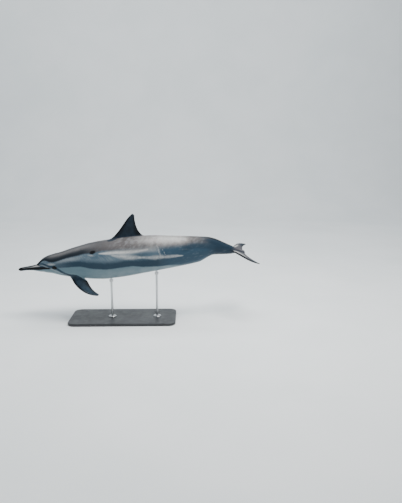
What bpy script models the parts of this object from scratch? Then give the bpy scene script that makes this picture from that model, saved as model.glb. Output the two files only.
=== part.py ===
"""Life-size display model of a spinner dolphin, swimming, held by a plain stand with two rods.

The animal is one loft: rings of points along a bent spine, with each fin grafted into a gap between
the rings. Thin cuts part it into named solids that meet face to face.
Metres, +Z up. The head points to -X and the dolphin's left side is at -Y.
The origin is the centre of the stand's underside.
"""

import math

import bmesh
import bpy
import numpy as np
from mathutils import Vector
from mathutils.bvhtree import BVHTree

# ---------------------------------------------------------------- driving dimensions
BODY_LENGTH = 1.858  # tip of the upper jaw to the notch between the flukes
CUT = 0.0003  # clear gap between neighbouring solids
HALF_CUT = CUT / 2

AXIS_HEIGHT = 0.52  # of the spine line at the station over the origin, above the floor
ORIGIN_STATION = 0.4525  # share of the body length that stands over the origin

SEGMENTS = 32  # points round each ring
QUARTER = SEGMENTS // 4

# Stations are shares of the body length from the tip of the beak to the fluke notch.
CREASE = 0.082  # where the melon meets the beak
GAPE = 0.143  # corner of the mouth
NAPE = 0.208  # head to chest
MIDRIFF = 0.368  # chest to back
VENT = 0.642  # back to belly end
STOCK = 0.791  # belly end to tail stock
FLUKE_ROOT = 0.905  # tail stock to fluke centre

# Outline of the body without the beak, as shares of the body length. The side level is how far the
# widest point lies above the spine line. Crest and keel sharpen the top and the underside.
BODY_OUTLINE = (
    # station, top, bottom, half width, side level, crest, keel
    (0.058, 0.0010, 0.0045, 0.0028, -0.0038, 1.00, 1.00),
    (0.076, 0.0065, 0.0105, 0.0066, -0.0043, 1.00, 1.00),
    (0.091, 0.0175, 0.0190, 0.0142, -0.0048, 1.00, 1.00),
    (0.106, 0.0285, 0.0265, 0.0230, -0.0058, 1.00, 1.00),
    (0.121, 0.0362, 0.0320, 0.0303, -0.0070, 1.00, 1.00),
    (0.144, 0.0430, 0.0375, 0.0390, -0.0085, 1.00, 1.00),
    (0.169, 0.0460, 0.0475, 0.0455, -0.0080, 1.00, 1.00),
    (0.199, 0.0508, 0.0575, 0.0525, -0.0060, 1.00, 1.00),
    (0.233, 0.0590, 0.0660, 0.0600, -0.0040, 1.00, 1.00),
    (0.278, 0.0682, 0.0752, 0.0670, -0.0020, 1.00, 1.00),
    (0.323, 0.0762, 0.0832, 0.0715, 0.0000, 1.00, 1.00),
    (0.383, 0.0817, 0.0886, 0.0740, 0.0000, 1.02, 1.00),
    (0.452, 0.0846, 0.0866, 0.0730, 0.0000, 1.05, 1.00),
    (0.522, 0.0868, 0.0811, 0.0690, 0.0000, 1.10, 1.02),
    (0.592, 0.0838, 0.0751, 0.0610, 0.0000, 1.15, 1.05),
    (0.662, 0.0762, 0.0691, 0.0505, 0.0000, 1.25, 1.15),
    (0.731, 0.0686, 0.0622, 0.0385, 0.0000, 1.40, 1.30),
    (0.791, 0.0617, 0.0532, 0.0285, 0.0000, 1.50, 1.45),
    (0.821, 0.0587, 0.0385, 0.0240, 0.0000, 1.50, 1.50),
    (0.851, 0.0517, 0.0255, 0.0200, 0.0000, 1.50, 1.50),
    (0.896, 0.0315, 0.0240, 0.0150, 0.0000, 1.40, 1.40),
    (0.935, 0.0175, 0.0200, 0.0130, 0.0000, 1.25, 1.25),
    (0.965, 0.0095, 0.0095, 0.0130, 0.0000, 1.10, 1.10),
    (0.985, 0.0042, 0.0042, 0.0125, 0.0000, 1.00, 1.00),
    (1.000, 0.0014, 0.0014, 0.0095, 0.0000, 1.00, 1.00),
)
# Outline of the beak, which runs on inside the head until the body's outline covers it.
BEAK_OUTLINE = (
    # station, top, bottom, half width, side level
    (0.000, 0.0014, 0.0018, 0.0020, -0.0006),
    (0.002, 0.0042, 0.0048, 0.0050, -0.0007),
    (0.006, 0.0062, 0.0068, 0.0071, -0.0009),
    (0.012, 0.0073, 0.0080, 0.0083, -0.0010),
    (0.034, 0.0077, 0.0092, 0.0090, -0.0016),
    (0.059, 0.0084, 0.0130, 0.0110, -0.0030),
    (0.084, 0.0098, 0.0208, 0.0168, -0.0048),
    (0.104, 0.0125, 0.0262, 0.0236, -0.0062),
    (0.129, 0.0130, 0.0250, 0.0300, -0.0080),
    (0.154, 0.0090, 0.0230, 0.0310, -0.0088),
    (0.179, 0.0020, 0.0100, 0.0150, -0.0080),
)
BEAK_BLEND = 0.0035  # how softly the beak runs into the head, as a share of the body length

# Heading of the spine in degrees: climbing towards the tail, swinging to the right, left side down.
SPINE_HEADING = (
    # station, climb, swing, roll
    (0.00, 9.5, 0.0, 3.0),
    (0.12, 8.5, 0.0, 3.0),
    (0.25, 5.5, 0.0, 3.0),
    (0.50, 5.5, 0.0, 4.0),
    (0.60, 5.0, 1.0, 4.0),
    (0.75, 3.5, 5.0, 5.0),
    (0.86, 0.0, 10.0, 7.0),
    (0.93, -8.5, 13.0, 10.0),
    (1.00, -11.0, 16.0, 16.5),
)

EYE_STATION = 0.167
EYE_LEVEL = -0.0060  # above the spine line, as a share of the body length
EYE_RADIUS = 0.0125
EYE_DEPTH = 0.0100  # of the eyeball's centre under the skin

ROD_STATIONS = (0.403, 0.602)
ROD_RADIUS = 0.009
ROD_CLEARANCE = 0.0005  # under the faceted belly
BASE_LENGTH, BASE_WIDTH, BASE_THICKNESS = 0.86, 0.40, 0.022
FLANGE_RADIUS, FLANGE_THICKNESS = 0.032, 0.008
COLLAR_RADIUS, COLLAR_HEIGHT, COLLAR_DROP = 0.016, 0.018, 0.012

MATERIALS = {
    # name: (colour, roughness, metallic)
    "cape_skin": ((0.055, 0.062, 0.072), 0.40, 0.0),
    "flank_skin": ((0.19, 0.215, 0.24), 0.38, 0.0),
    "belly_skin": ((0.66, 0.69, 0.70), 0.42, 0.0),
    "fin_skin": ((0.035, 0.042, 0.052), 0.36, 0.0),
    "eye": ((0.010, 0.008, 0.007), 0.08, 0.0),
    "stand_paint": ((0.022, 0.024, 0.027), 0.45, 0.0),
    "stand_steel": ((0.60, 0.61, 0.62), 0.28, 1.0),
}


# ---------------------------------------------------------------- curves
def smooth_columns(table, at, spread=0.0):
    """Columns of a table read at these stations by a curve that never overshoots, averaged over spread."""
    rows = np.array(table, float)
    knots, values = rows[:, 0], rows[:, 1:]
    gaps = np.diff(knots)[:, None]
    slopes = np.diff(values, axis=0) / gaps
    before, after = slopes[:-1], slopes[1:]
    tangents = np.zeros_like(values)
    same_way = before * after > 0
    mean = 2 * before * after / np.where(same_way, before + after, 1)
    tangents[1:-1] = np.where(same_way, mean, 0)
    tangents[0], tangents[-1] = slopes[0], slopes[-1]
    total = 0
    for shift, weight in ((-2, 1), (-1, 4), (0, 6), (1, 4), (2, 1)):
        x = np.clip(np.asarray(at, float) + shift * spread / 2, knots[0], knots[-1])
        k = np.clip(np.searchsorted(knots, x, side="right") - 1, 0, len(knots) - 2)
        gap = gaps[k]
        s = (x[:, None] - knots[k][:, None]) / gap
        total = total + weight / 16 * (
            values[k] * (1 + 2 * s) * (1 - s) ** 2
            + tangents[k] * gap * s * (1 - s) ** 2
            + values[k + 1] * s**2 * (3 - 2 * s)
            + tangents[k + 1] * gap * s**2 * (s - 1)
        )
    return total


def bezier(points, u):
    a, b, c, d = (np.array(p, float) for p in points)
    v = 1 - u
    return a * v**3 + b * 3 * v * v * u + c * 3 * v * u * u + d * u**3


def soft_max(a, b, width):
    """The larger of two lengths, with the corner between them rounded over width."""
    share = np.clip(0.5 + 0.5 * (a - b) / width, 0, 1)
    return b + (a - b) * share + width * share * (1 - share)


# ---------------------------------------------------------------- spine
SPINE_STEPS = 800


def spine_line():
    """Stations, points and headings (climb, swing, roll) of the spine, with ORIGIN_STATION over the origin."""
    at = np.linspace(0, 1, SPINE_STEPS + 1)
    heading = np.radians(smooth_columns(SPINE_HEADING, at, 0.03))
    climb, swing = (heading[1:, :2] + heading[:-1, :2]).T / 2
    aft = np.stack([np.cos(climb) * np.cos(swing), np.cos(climb) * np.sin(swing), np.sin(climb)], 1)
    places = np.concatenate([[[0, 0, 0]], np.cumsum(aft, 0) * BODY_LENGTH / SPINE_STEPS])
    middle = places[int(round(ORIGIN_STATION * SPINE_STEPS))]
    return at, places - middle + (0, 0, AXIS_HEIGHT), heading


SPINE = spine_line()


def spine_frame(station):
    """Point, aft, right and up directions of the spine at one station."""
    at, places, heading = SPINE
    point = np.array([np.interp(station, at, column) for column in places.T])
    climb, swing, roll = (np.interp(station, at, column) for column in heading.T)
    aft = np.array(
        [math.cos(climb) * math.cos(swing), math.cos(climb) * math.sin(swing), math.sin(climb)]
    )
    side = np.array([-math.sin(swing), math.cos(swing), 0.0])
    up = np.cross(aft, side)
    return (
        point,
        aft,
        side * math.cos(roll) + up * math.sin(roll),
        up * math.cos(roll) - side * math.sin(roll),
    )


# ---------------------------------------------------------------- body surface
def section_radii(shape, angles):
    """Distance from the spine line to one section's outline in each polar direction.

    shape is top, bottom, half width, side level, crest and keel. Angles run from the underside,
    -90 degrees, to the top, +90 degrees.
    """
    top, bottom, half_width, level, crest, keel = shape
    a = np.linspace(-math.pi / 2, math.pi / 2, 241)
    upper = a > 0
    y = half_width * np.cos(a).clip(0) ** np.where(upper, crest, keel)
    z = level + np.where(upper, top - level, bottom + level) * np.sin(a)
    return np.interp(angles, np.arctan2(z, y), np.hypot(y, z))


def ring(station, around):
    """Points of the body's outline at one station, in metres beside the spine: right and up.

    around is the place on the ring in turns: 0 at the top, 0.25 at the left side or lip, 0.5 below.
    """
    body = smooth_columns(BODY_OUTLINE, [station], 0.012)[0]
    beak = np.append(smooth_columns(BEAK_OUTLINE, [station], 0.004)[0], (1, 1))
    inside_beak = station < BODY_OUTLINE[0][0]
    covered = station > BEAK_OUTLINE[-1][0]
    guide = beak if inside_beak else body
    if not inside_beak and not covered:
        guide = np.maximum(body, beak)
        guide[3] = beak[3] + (body[3] - beak[3]) * np.clip((station - GAPE) / 0.03, 0, 1)
    turn = 2 * math.pi * np.asarray(around, float)
    rise, reach = np.cos(turn), np.sin(turn)
    z = guide[3] + np.where(rise > 0, guide[0] - guide[3], guide[1] + guide[3]) * rise
    angle = np.arctan2(z, np.abs(reach) * guide[2])
    if inside_beak:
        radius = section_radii(beak, angle)
    elif covered:
        radius = section_radii(body, angle)
    else:
        radius = soft_max(
            section_radii(body, angle), section_radii(beak, angle), BEAK_BLEND
        )
    side = np.where(reach > 0, -1, 1)
    return np.stack([side * radius * np.cos(angle), radius * np.sin(angle)], 1) * BODY_LENGTH


def body_points(station, around):
    point, _, right, up = spine_frame(station)
    flat = ring(station, around)
    return point + flat[:, :1] * right + flat[:, 1:] * up


def ring_stations():
    """Stations of the rings: close together on the beak, the melon and the flukes."""
    spans = (
        (0.0, 0.002, 1),
        (0.002, 0.012, 2),
        (0.012, CREASE, 6),
        (CREASE, GAPE, 6),
        (GAPE, NAPE, 4),
        (NAPE, 0.222, 1),
        (0.222, 0.286, 5),
        (0.286, MIDRIFF, 3),
        (MIDRIFF, 0.408, 1),
        (0.408, 0.560, 10),
        (0.560, VENT, 3),
        (VENT, STOCK, 5),
        (STOCK, FLUKE_ROOT, 5),
        (FLUKE_ROOT, 0.930, 1),
        (0.930, 0.996, 7),
        (0.996, 1.0, 1),
    )
    stations = [0.0]
    for start, end, count in spans:
        stations += [start + (end - start) * (k + 1) / count for k in range(count)]
    return np.array(stations)


STATIONS = ring_stations()
AROUND = np.arange(SEGMENTS) / SEGMENTS
BODY = np.array([body_points(s, AROUND) for s in STATIONS])


def nearest_ring(station):
    return int(np.argmin(np.abs(STATIONS - station)))


# ---------------------------------------------------------------- fins
class Fin:
    """A blade grafted into a gap in the body's rings.

    The leading and trailing edges are Bezier curves from the body to the tip, in metres: aft of the
    root's front end, and out along the blade. gap is its place in the body: first and last station,
    first and last turn round the ring. root_at is the turn where the blade's own plane leaves.
    """

    def __init__(self, name, gap, root_at, out, pitch, leading, trailing, thickness, rings):
        self.name = name
        self.first, self.last = nearest_ring(gap[0]), nearest_ring(gap[1])
        self.low, self.high = (round(turn * SEGMENTS) for turn in gap[2:])
        self.leading, self.trailing, self.thickness = leading, trailing, thickness
        self.rings = rings
        front, rear = (body_points(STATIONS[i], [root_at])[0] for i in (self.first, self.last))
        aft = (rear - front) / np.linalg.norm(rear - front)
        _, _, right, up = spine_frame((STATIONS[self.first] + STATIONS[self.last]) / 2)
        out = right * out[0] + up * out[1]
        out -= aft * (out @ aft)
        out /= np.linalg.norm(out)
        turn = math.radians(pitch)
        self.aft = aft * math.cos(turn) + np.cross(aft, out) * math.sin(turn)
        self.out = out
        self.across = np.cross(self.aft, self.out)
        self.origin = front

    def gap_loop(self):
        """Grid places (ring, place round) of the gap's edge: front end, far side, rear end, near side."""
        low, high, first, last = self.low, self.high, self.first, self.last
        front = [(first, j) for j in range(low, high)]
        far = [(i, high) for i in range(first, last)]
        rear = [(last, j) for j in range(high, low, -1)]
        near = [(i, low) for i in range(last, first, -1)]
        return front + far + rear + near

    def loop_shares(self):
        """Chord share and side (-1 to 1) of each point of a blade ring, in gap_loop's order."""
        width, length = self.high - self.low, self.last - self.first
        nose, tail = 0.05, 0.03
        shares = []
        for k in range(width):
            s = -1 + 2 * k / width
            shares.append((nose * s * s, s))
        for k in range(length):
            shares.append((nose + (1 - nose - tail) * k / length, 1))
        for k in range(width):
            s = 1 - 2 * k / width
            shares.append((1 - tail * s * s, s))
        for k in range(length):
            shares.append((1 - tail - (1 - nose - tail) * k / length, -1))
        return np.array(shares)

    def blade_ring(self, u):
        """Points round the blade at share u of the way from the body to the tip."""
        front, rear = bezier(self.leading, u), bezier(self.trailing, u)
        root, tip = self.thickness
        thick = (root + (tip - root) * u) * 0.5
        shares = self.loop_shares()
        chord, side = shares[:, 0], shares[:, 1]
        profile = 2.98 * np.sqrt(chord) - 1.32 * chord - 3.286 * chord**2 + 2.441 * chord**3
        half = np.maximum(thick * (profile - 0.815 * chord**4), EDGE_THICKNESS / 2)
        flat = front + (rear - front) * chord[:, None]
        bulge = np.where(np.abs(side) < 1, half * np.sign(side), half * side)
        return (
            self.origin
            + flat[:, :1] * self.aft
            + flat[:, 1:] * self.out
            + bulge[:, None] * self.across
        )

    def all_rings(self):
        """Rings of the graft from the gap's edge to the tip, the first ones curving out of the body."""
        loop = self.gap_loop()
        edge = np.array([BODY[i, j % SEGMENTS] for i, j in loop])
        shares = BLADE_START + (1 - BLADE_START) * np.linspace(0, 1, self.rings + 1)
        blades = [self.blade_ring(u) for u in shares[:-1]] + [self.blade_ring(0.985)]
        inner = blades[0]
        reach = np.linalg.norm(inner - edge, axis=1)[:, None]
        away = inner - self.blade_ring(BLADE_START * 0.5)
        away /= np.linalg.norm(away, axis=1)[:, None]
        outside = edge - self.neighbours(loop)
        outside /= np.linalg.norm(outside, axis=1)[:, None]
        rings = [edge]
        for k in range(1, FILLET_RINGS):
            s = k / FILLET_RINGS
            rings.append(
                edge * (1 + 2 * s) * (1 - s) ** 2
                + outside * reach * s * (1 - s) ** 2 * 0.9
                + inner * s * s * (3 - 2 * s)
                + away * reach * s * s * (s - 1) * 0.9
            )
        return rings + blades

    def neighbours(self, loop):
        """The body's points one step outside each point of the gap's edge."""
        found = []
        for i, j in loop:
            di = -1 if i == self.first else (1 if i == self.last else 0)
            dj = -1 if j == self.low else (1 if j == self.high else 0)
            found.append(BODY[min(i + di, len(STATIONS) - 1), (j + dj) % SEGMENTS])
        return np.array(found)


EDGE_THICKNESS = 0.0016
BLADE_START = 0.12  # share of the blade inside the curve that joins it to the body
FILLET_RINGS = 3
STUB_RINGS = 3  # rings of each fin that stay with the body

DORSAL_FIN = Fin(
    "dorsal_fin",
    gap=(0.408, 0.560, -1 / SEGMENTS, 1 / SEGMENTS),
    root_at=0.0,
    out=(0.0, 1.0),
    pitch=0.0,
    leading=((0.000, 0.004), (0.092, 0.035), (0.148, 0.157), (0.216, 0.189)),
    trailing=((0.284, 0.0), (0.237, 0.017), (0.217, 0.096), (0.228, 0.181)),
    thickness=(0.030, 0.008),
    rings=7,
)


def flipper(name, hand, out):
    """hand is 1 for the left flipper and -1 for the right one."""
    low, high = (0.375, 0.4375)
    if hand < 0:
        low, high = 1 - high, 1 - low
    return Fin(
        name,
        gap=(0.222, 0.286, low, high),
        root_at=(low + high) / 2,
        out=out,
        pitch=0.0,
        leading=((-0.004, -0.007), (0.048, 0.071), (0.134, 0.160), (0.262, 0.143)),
        trailing=((0.102, -0.001), (0.174, 0.017), (0.151, 0.084), (0.268, 0.134)),
        thickness=(0.024, 0.005),
        rings=8,
    )


def fluke(name, hand):
    low, high = (0.25 - 2 / SEGMENTS, 0.25 + 2 / SEGMENTS)
    if hand < 0:
        low, high = 1 - high, 1 - low
    return Fin(
        name,
        gap=(0.930, 0.996, low, high),
        root_at=(low + high) / 2,
        out=(-1.0 * hand, 0.0),
        pitch=3.8 * hand,
        leading=((0.000, 0.0), (0.063, 0.047), (0.095, 0.208), (0.200, 0.179)),
        trailing=((0.118, 0.0), (0.132, 0.043), (0.121, 0.094), (0.200, 0.179)),
        thickness=(0.024, 0.005),
        rings=8,
    )


FINS = (
    DORSAL_FIN,
    flipper("flipper_left", 1, (-0.60, -0.80)),
    flipper("flipper_right", -1, (0.87, -0.50)),
    fluke("fluke_left", 1),
    fluke("fluke_right", -1),
)


# ---------------------------------------------------------------- solids
class Shell:
    """Collects points and faces of one closed solid. Equal keys are the same point."""

    def __init__(self):
        self.points, self.index, self.faces = [], {}, []

    def point(self, key, place):
        if key not in self.index:
            self.index[key] = len(self.points)
            self.points.append(tuple(place))
        return self.index[key]

    def face(self, *corners):
        kept = [c for k, c in enumerate(corners) if c != corners[k - 1]]
        if len(kept) > 2:
            self.faces.append(kept)

    def ladder(self, left, right):
        """Fills between two equally long rows of points."""
        for k in range(len(left) - 1):
            self.face(left[k], left[k + 1], right[k + 1], right[k])

    def tube(self, rings):
        """Joins closed rings, given as rows of point numbers."""
        for inner, outer in zip(rings, rings[1:]):
            count = len(inner)
            for k in range(count):
                after = (k + 1) % count
                self.face(inner[k], inner[after], outer[after], outer[k])

    def object(self, name, material):
        mesh = bpy.data.meshes.new(name)
        mesh.from_pydata(self.points, [], self.faces)
        build = bmesh.new()
        build.from_mesh(mesh)
        bmesh.ops.recalc_face_normals(build, faces=build.faces)
        if build.calc_volume(signed=True) < 0:
            bmesh.ops.reverse_faces(build, faces=build.faces)
        build.to_mesh(mesh)
        build.free()
        mesh.materials.append(material)
        mesh.shade_smooth()
        mesh.set_sharp_from_angle(angle=math.radians(40))
        made = bpy.data.objects.new(name, mesh)
        bpy.context.scene.collection.objects.link(made)
        return made


def shifted(point, towards, by):
    step = np.asarray(towards) - point
    return point + step * (by / np.linalg.norm(step))


def loop_rows(fin):
    """The two sides of a blade ring, from its front to its rear end, as places in the ring."""
    width, length = fin.high - fin.low, fin.last - fin.first
    count = 2 * (width + length)
    half = width // 2
    one = [(half + k) % count for k in range(width - half + length + half + 1)]
    other = [(half - k) % count for k in range(half + length + width - half + 1)]
    return one, other


def cap_loop(shell, fin, ring_numbers):
    one, other = loop_rows(fin)
    shell.ladder([ring_numbers[k] for k in one], [ring_numbers[k] for k in other])


def body_solid(name, material, upper, lower):
    """One solid of the body between rings, for the half above the lip line and the half below it.

    upper and lower are (first ring, last ring), or None where that half belongs to another solid.
    """
    shell = Shell()
    halves = {0: upper, 1: lower}
    cells = {
        (i, half) for half, span in halves.items() if span for i in range(span[0], span[1])
    }
    lips = (QUARTER, 3 * QUARTER)

    def rows_of(half):
        """Places round the ring of one half, from the middle line out to each lip."""
        if half == 0:
            return range(0, QUARTER + 1), [-j % SEGMENTS for j in range(0, QUARTER + 1)]
        return (
            range(2 * QUARTER, QUARTER - 1, -1),
            range(2 * QUARTER, 3 * QUARTER + 1),
        )

    def number(i, j):
        """The point at ring i, place j, drawn back from this solid's cut faces."""
        j %= SEGMENTS
        place = BODY[i, j]
        in_upper = j <= QUARTER or j >= 3 * QUARTER
        in_lower = QUARTER <= j <= 3 * QUARTER
        own = [half for half, inside in ((0, in_upper), (1, in_lower)) if inside]
        ahead = [(i, half) in cells for half in own]
        behind = [(i - 1, half) in cells for half in own]
        if any(ahead) and not all(behind) and i > 0:
            place = shifted(place, BODY[i + 1, j], HALF_CUT)
        elif any(behind) and not all(ahead) and i < len(STATIONS) - 1:
            place = shifted(place, BODY[i - 1, j], HALF_CUT)
        if j in lips and not (all(ahead) and all(behind)):
            near = [half for half in (0, 1) if (i, half) in cells or (i - 1, half) in cells]
            missing = [
                half
                for half in (0, 1)
                if ((i, half) not in cells and (i, 1 - half) in cells)
                or ((i - 1, half) not in cells and (i - 1, 1 - half) in cells)
            ]
            if missing and near:
                inward = 1 if (j == QUARTER) == (missing[0] == 0) else -1
                place = shifted(place, BODY[i, (j + inward) % SEGMENTS], HALF_CUT)
        return shell.point((i, j), place)

    gaps = {
        (i, j % SEGMENTS): fin
        for fin in FINS
        for i in range(fin.first, fin.last)
        for j in range(fin.low, fin.high)
    }
    for i, half in cells:
        for row in rows_of(half):
            for a, b in zip(row, row[1:]):
                low = b if (b - a) % SEGMENTS == SEGMENTS - 1 else a
                if (i, low % SEGMENTS) not in gaps:
                    shell.face(number(i, a), number(i + 1, a), number(i + 1, b), number(i, b))
        if (i, 1 - half) not in cells:
            left, right = lips
            shell.face(number(i, left), number(i + 1, left), number(i + 1, right), number(i, right))
        for beyond, end in ((i - 1, i), (i + 1, i + 1)):
            if (beyond, half) not in cells:
                one, other = rows_of(half)
                shell.ladder([number(end, j) for j in one], [number(end, j) for j in other])
    for fin in FINS:
        if (fin.first, 0) in cells or (fin.first, 1) in cells:
            graft_stub(shell, fin, number)
    return shell.object(name, material)


def graft_stub(shell, fin, number):
    """The low root of a fin, which stays with the body, closed by a cut face."""
    rings = fin.all_rings()[: STUB_RINGS + 1]
    numbers = [[number(i, j) for i, j in fin.gap_loop()]]
    for k, points in enumerate(rings[1:], 1):
        numbers.append([shell.point((fin.name, k, n), p) for n, p in enumerate(points)])
    shell.tube(numbers)
    cap_loop(shell, fin, numbers[-1])


def fin_solid(fin, material):
    """A fin from the cut above its root to its tip."""
    rings = fin.all_rings()[STUB_RINGS:]
    rings[0] = np.array([shifted(a, b, CUT) for a, b in zip(rings[0], rings[1])])
    shell = Shell()
    numbers = [
        [shell.point((k, n), p) for n, p in enumerate(points)] for k, points in enumerate(rings)
    ]
    shell.tube(numbers)
    cap_loop(shell, fin, numbers[0])
    cap_loop(shell, fin, numbers[-1])
    return shell.object(fin.name, material)


# ---------------------------------------------------------------- eyes
def eye_place(hand):
    """Centre of an eyeball and the direction that it looks, out of the head's side."""
    point, aft, right, up = spine_frame(EYE_STATION)
    around = np.linspace(0.1, 0.4, 301)
    flat = ring(EYE_STATION, around)
    nearest = int(np.argmin(np.abs(flat[:, 1] - EYE_LEVEL * BODY_LENGTH)))
    turns = around[[nearest - 3, nearest, nearest + 3]]
    turns = turns if hand > 0 else 1 - turns
    below, here, above = body_points(EYE_STATION, turns)
    ahead = body_points(EYE_STATION - 0.004, turns[1:2])[0]
    astern = body_points(EYE_STATION + 0.004, turns[1:2])[0]
    facing = np.cross(above - below, astern - ahead)
    facing /= np.linalg.norm(facing)
    if facing @ (here - point) < 0:
        facing = -facing
    return here - facing * EYE_DEPTH, facing


def eyeball(name, hand, radius, material=None):
    centre, facing = eye_place(hand)
    build = bmesh.new()
    bmesh.ops.create_uvsphere(build, u_segments=20, v_segments=12, radius=radius)
    mesh = bpy.data.meshes.new(name)
    build.to_mesh(mesh)
    build.free()
    mesh.shade_smooth()
    if material:
        mesh.materials.append(material)
    made = bpy.data.objects.new(name, mesh)
    made.location = Vector(centre)
    made.rotation_mode = "QUATERNION"
    made.rotation_quaternion = Vector(facing).to_track_quat("Z", "Y")
    bpy.context.scene.collection.objects.link(made)
    return made


def cut_sockets(head):
    """Cuts the hollows that the eyeballs fill, with a clear gap round each."""
    cutters = [eyeball(f"socket_{hand}", hand, EYE_RADIUS + CUT) for hand in (1, -1)]
    for cutter in cutters:
        cut = head.modifiers.new(cutter.name, "BOOLEAN")
        cut.operation = "DIFFERENCE"
        cut.solver = "EXACT"
        cut.object = cutter
    done = head.evaluated_get(bpy.context.evaluated_depsgraph_get())
    mesh = bpy.data.meshes.new_from_object(done)
    mesh.set_sharp_from_angle(angle=math.radians(40))
    head.modifiers.clear()
    head.data = mesh
    for cutter in cutters:
        bpy.data.objects.remove(cutter)


# ---------------------------------------------------------------- stand
def surface_below(body, x, y):
    """Height of the underside of a body solid over a point of the floor."""
    mesh = body.data
    tree = BVHTree.FromPolygons(
        [v.co for v in mesh.vertices], [list(p.vertices) for p in mesh.polygons]
    )
    hit = tree.ray_cast(Vector((x, y, 0)), Vector((0, 0, 1)))
    return hit[0].z


def rod(name, material, centre, body, foot):
    """A rod from its foot up to the skin, with its top shaped to the belly."""
    sides = 16
    shell = Shell()
    spokes = [2 * math.pi * n / sides for n in range(sides)]
    rings = []
    for k, share in enumerate((1.0, 1.0, 0.67, 0.33)):
        ring_numbers = []
        for n, a in enumerate(spokes):
            px = centre[0] + share * ROD_RADIUS * math.cos(a)
            py = centre[1] + share * ROD_RADIUS * math.sin(a)
            height = foot if k == 0 else surface_below(body, px, py) - ROD_CLEARANCE
            ring_numbers.append(shell.point((k, n), (px, py, height)))
        rings.append(ring_numbers)
    shell.tube(rings)
    shell.faces += [list(reversed(rings[0])), rings[-1]]
    return shell.object(name, material)


def washer(name, material, centre, inner, outer, bottom, top, sides=24):
    """A ring that goes round a rod, chamfered at its outer top edge."""
    chamfer = 0.0015
    profile = (
        (inner, bottom),
        (outer, bottom),
        (outer, top - chamfer),
        (outer - chamfer, top),
        (inner, top),
    )
    shell = Shell()
    spokes = [2 * math.pi * n / sides for n in range(sides)]
    rings = [
        [
            shell.point((k, n), (centre[0] + r * math.cos(a), centre[1] + r * math.sin(a), z))
            for n, a in enumerate(spokes)
        ]
        for k, (r, z) in enumerate(profile)
    ]
    shell.tube(rings + rings[:1])
    return shell.object(name, material)


def rounded_plate(name, material, length, width, bottom, top, corner, edge):
    """A flat plate with round corners and a bevelled upper edge."""
    steps = 8
    outline = []
    for quarter, (sx, sy) in enumerate(((1, 1), (-1, 1), (-1, -1), (1, -1))):
        for k in range(steps + 1):
            a = math.pi / 2 * (quarter + k / steps)
            outline.append(
                (sx * (length / 2 - corner), sy * (width / 2 - corner), math.cos(a), math.sin(a))
            )
    shell = Shell()
    rings = []
    for k, (inset, height) in enumerate(((0, bottom), (0, top - edge), (edge, top))):
        rings.append(
            [
                shell.point((k, n), (cx + (corner - inset) * ux, cy + (corner - inset) * uy, height))
                for n, (cx, cy, ux, uy) in enumerate(outline)
            ]
        )
    shell.tube(rings)
    shell.faces += [list(reversed(rings[0])), rings[-1]]
    return shell.object(name, material)


def build_stand(carried, paint, steel):
    """carried is the body solid over each rod."""
    rounded_plate(
        "stand_base", paint, BASE_LENGTH, BASE_WIDTH, 0.0, BASE_THICKNESS, 0.06, 0.004
    )
    flange_bottom = BASE_THICKNESS + CUT
    flange_top = flange_bottom + FLANGE_THICKNESS
    for place, station, body in zip(("front", "rear"), ROD_STATIONS, carried):
        x, y, _ = (float(v) for v in spine_frame(station)[0])
        washer(
            f"stand_flange_{place}",
            steel,
            (x, y),
            ROD_RADIUS + CUT,
            FLANGE_RADIUS,
            flange_bottom,
            flange_top,
        )
        rod(f"stand_rod_{place}", steel, (x, y), body, flange_bottom)
        top = min(surface_below(body, x + s * COLLAR_RADIUS, y) for s in (-1, 0, 1))
        washer(
            f"stand_collar_{place}",
            steel,
            (x, y),
            ROD_RADIUS + CUT,
            COLLAR_RADIUS,
            top - COLLAR_DROP - COLLAR_HEIGHT,
            top - COLLAR_DROP,
        )


# ---------------------------------------------------------------- the model
def make_material(name):
    colour, roughness, metallic = MATERIALS[name]
    material = bpy.data.materials.new(name)
    material.use_nodes = True
    shader = material.node_tree.nodes["Principled BSDF"]
    shader.inputs["Base Color"].default_value = (*colour, 1)
    shader.inputs["Roughness"].default_value = roughness
    shader.inputs["Metallic"].default_value = metallic
    material.diffuse_color = (*colour, 1)
    return material


def main():
    for old in list(bpy.data.objects):
        bpy.data.objects.remove(old)
    skins = {name: make_material(name) for name in MATERIALS}
    tip, crease, gape, nape, midriff, vent, stock, root, notch = (
        nearest_ring(s)
        for s in (0, CREASE, GAPE, NAPE, MIDRIFF, VENT, STOCK, FLUKE_ROOT, 1)
    )
    cape, flank = skins["cape_skin"], skins["flank_skin"]
    body_solid("upper_jaw", cape, (tip, crease), None)
    body_solid("lower_jaw", skins["belly_skin"], None, (tip, gape))
    head = body_solid("head", cape, (crease, nape), (gape, nape))
    chest = body_solid("chest", flank, (nape, midriff), (nape, midriff))
    back = body_solid("back", flank, (midriff, vent), (midriff, vent))
    body_solid("belly_end", flank, (vent, stock), (vent, stock))
    body_solid("tail_stock", flank, (stock, root), (stock, root))
    body_solid("fluke_centre", cape, (root, notch), (root, notch))
    for fin in FINS:
        fin_solid(fin, skins["fin_skin"])
    cut_sockets(head)
    eyeball("eye_left", 1, EYE_RADIUS, skins["eye"])
    eyeball("eye_right", -1, EYE_RADIUS, skins["eye"])
    build_stand((back, back), skins["stand_paint"], skins["stand_steel"])


main()
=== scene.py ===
"""Looks of the spinner dolphin: one unbroken skin, wet eyes and a finished stand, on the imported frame."""

import math

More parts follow.
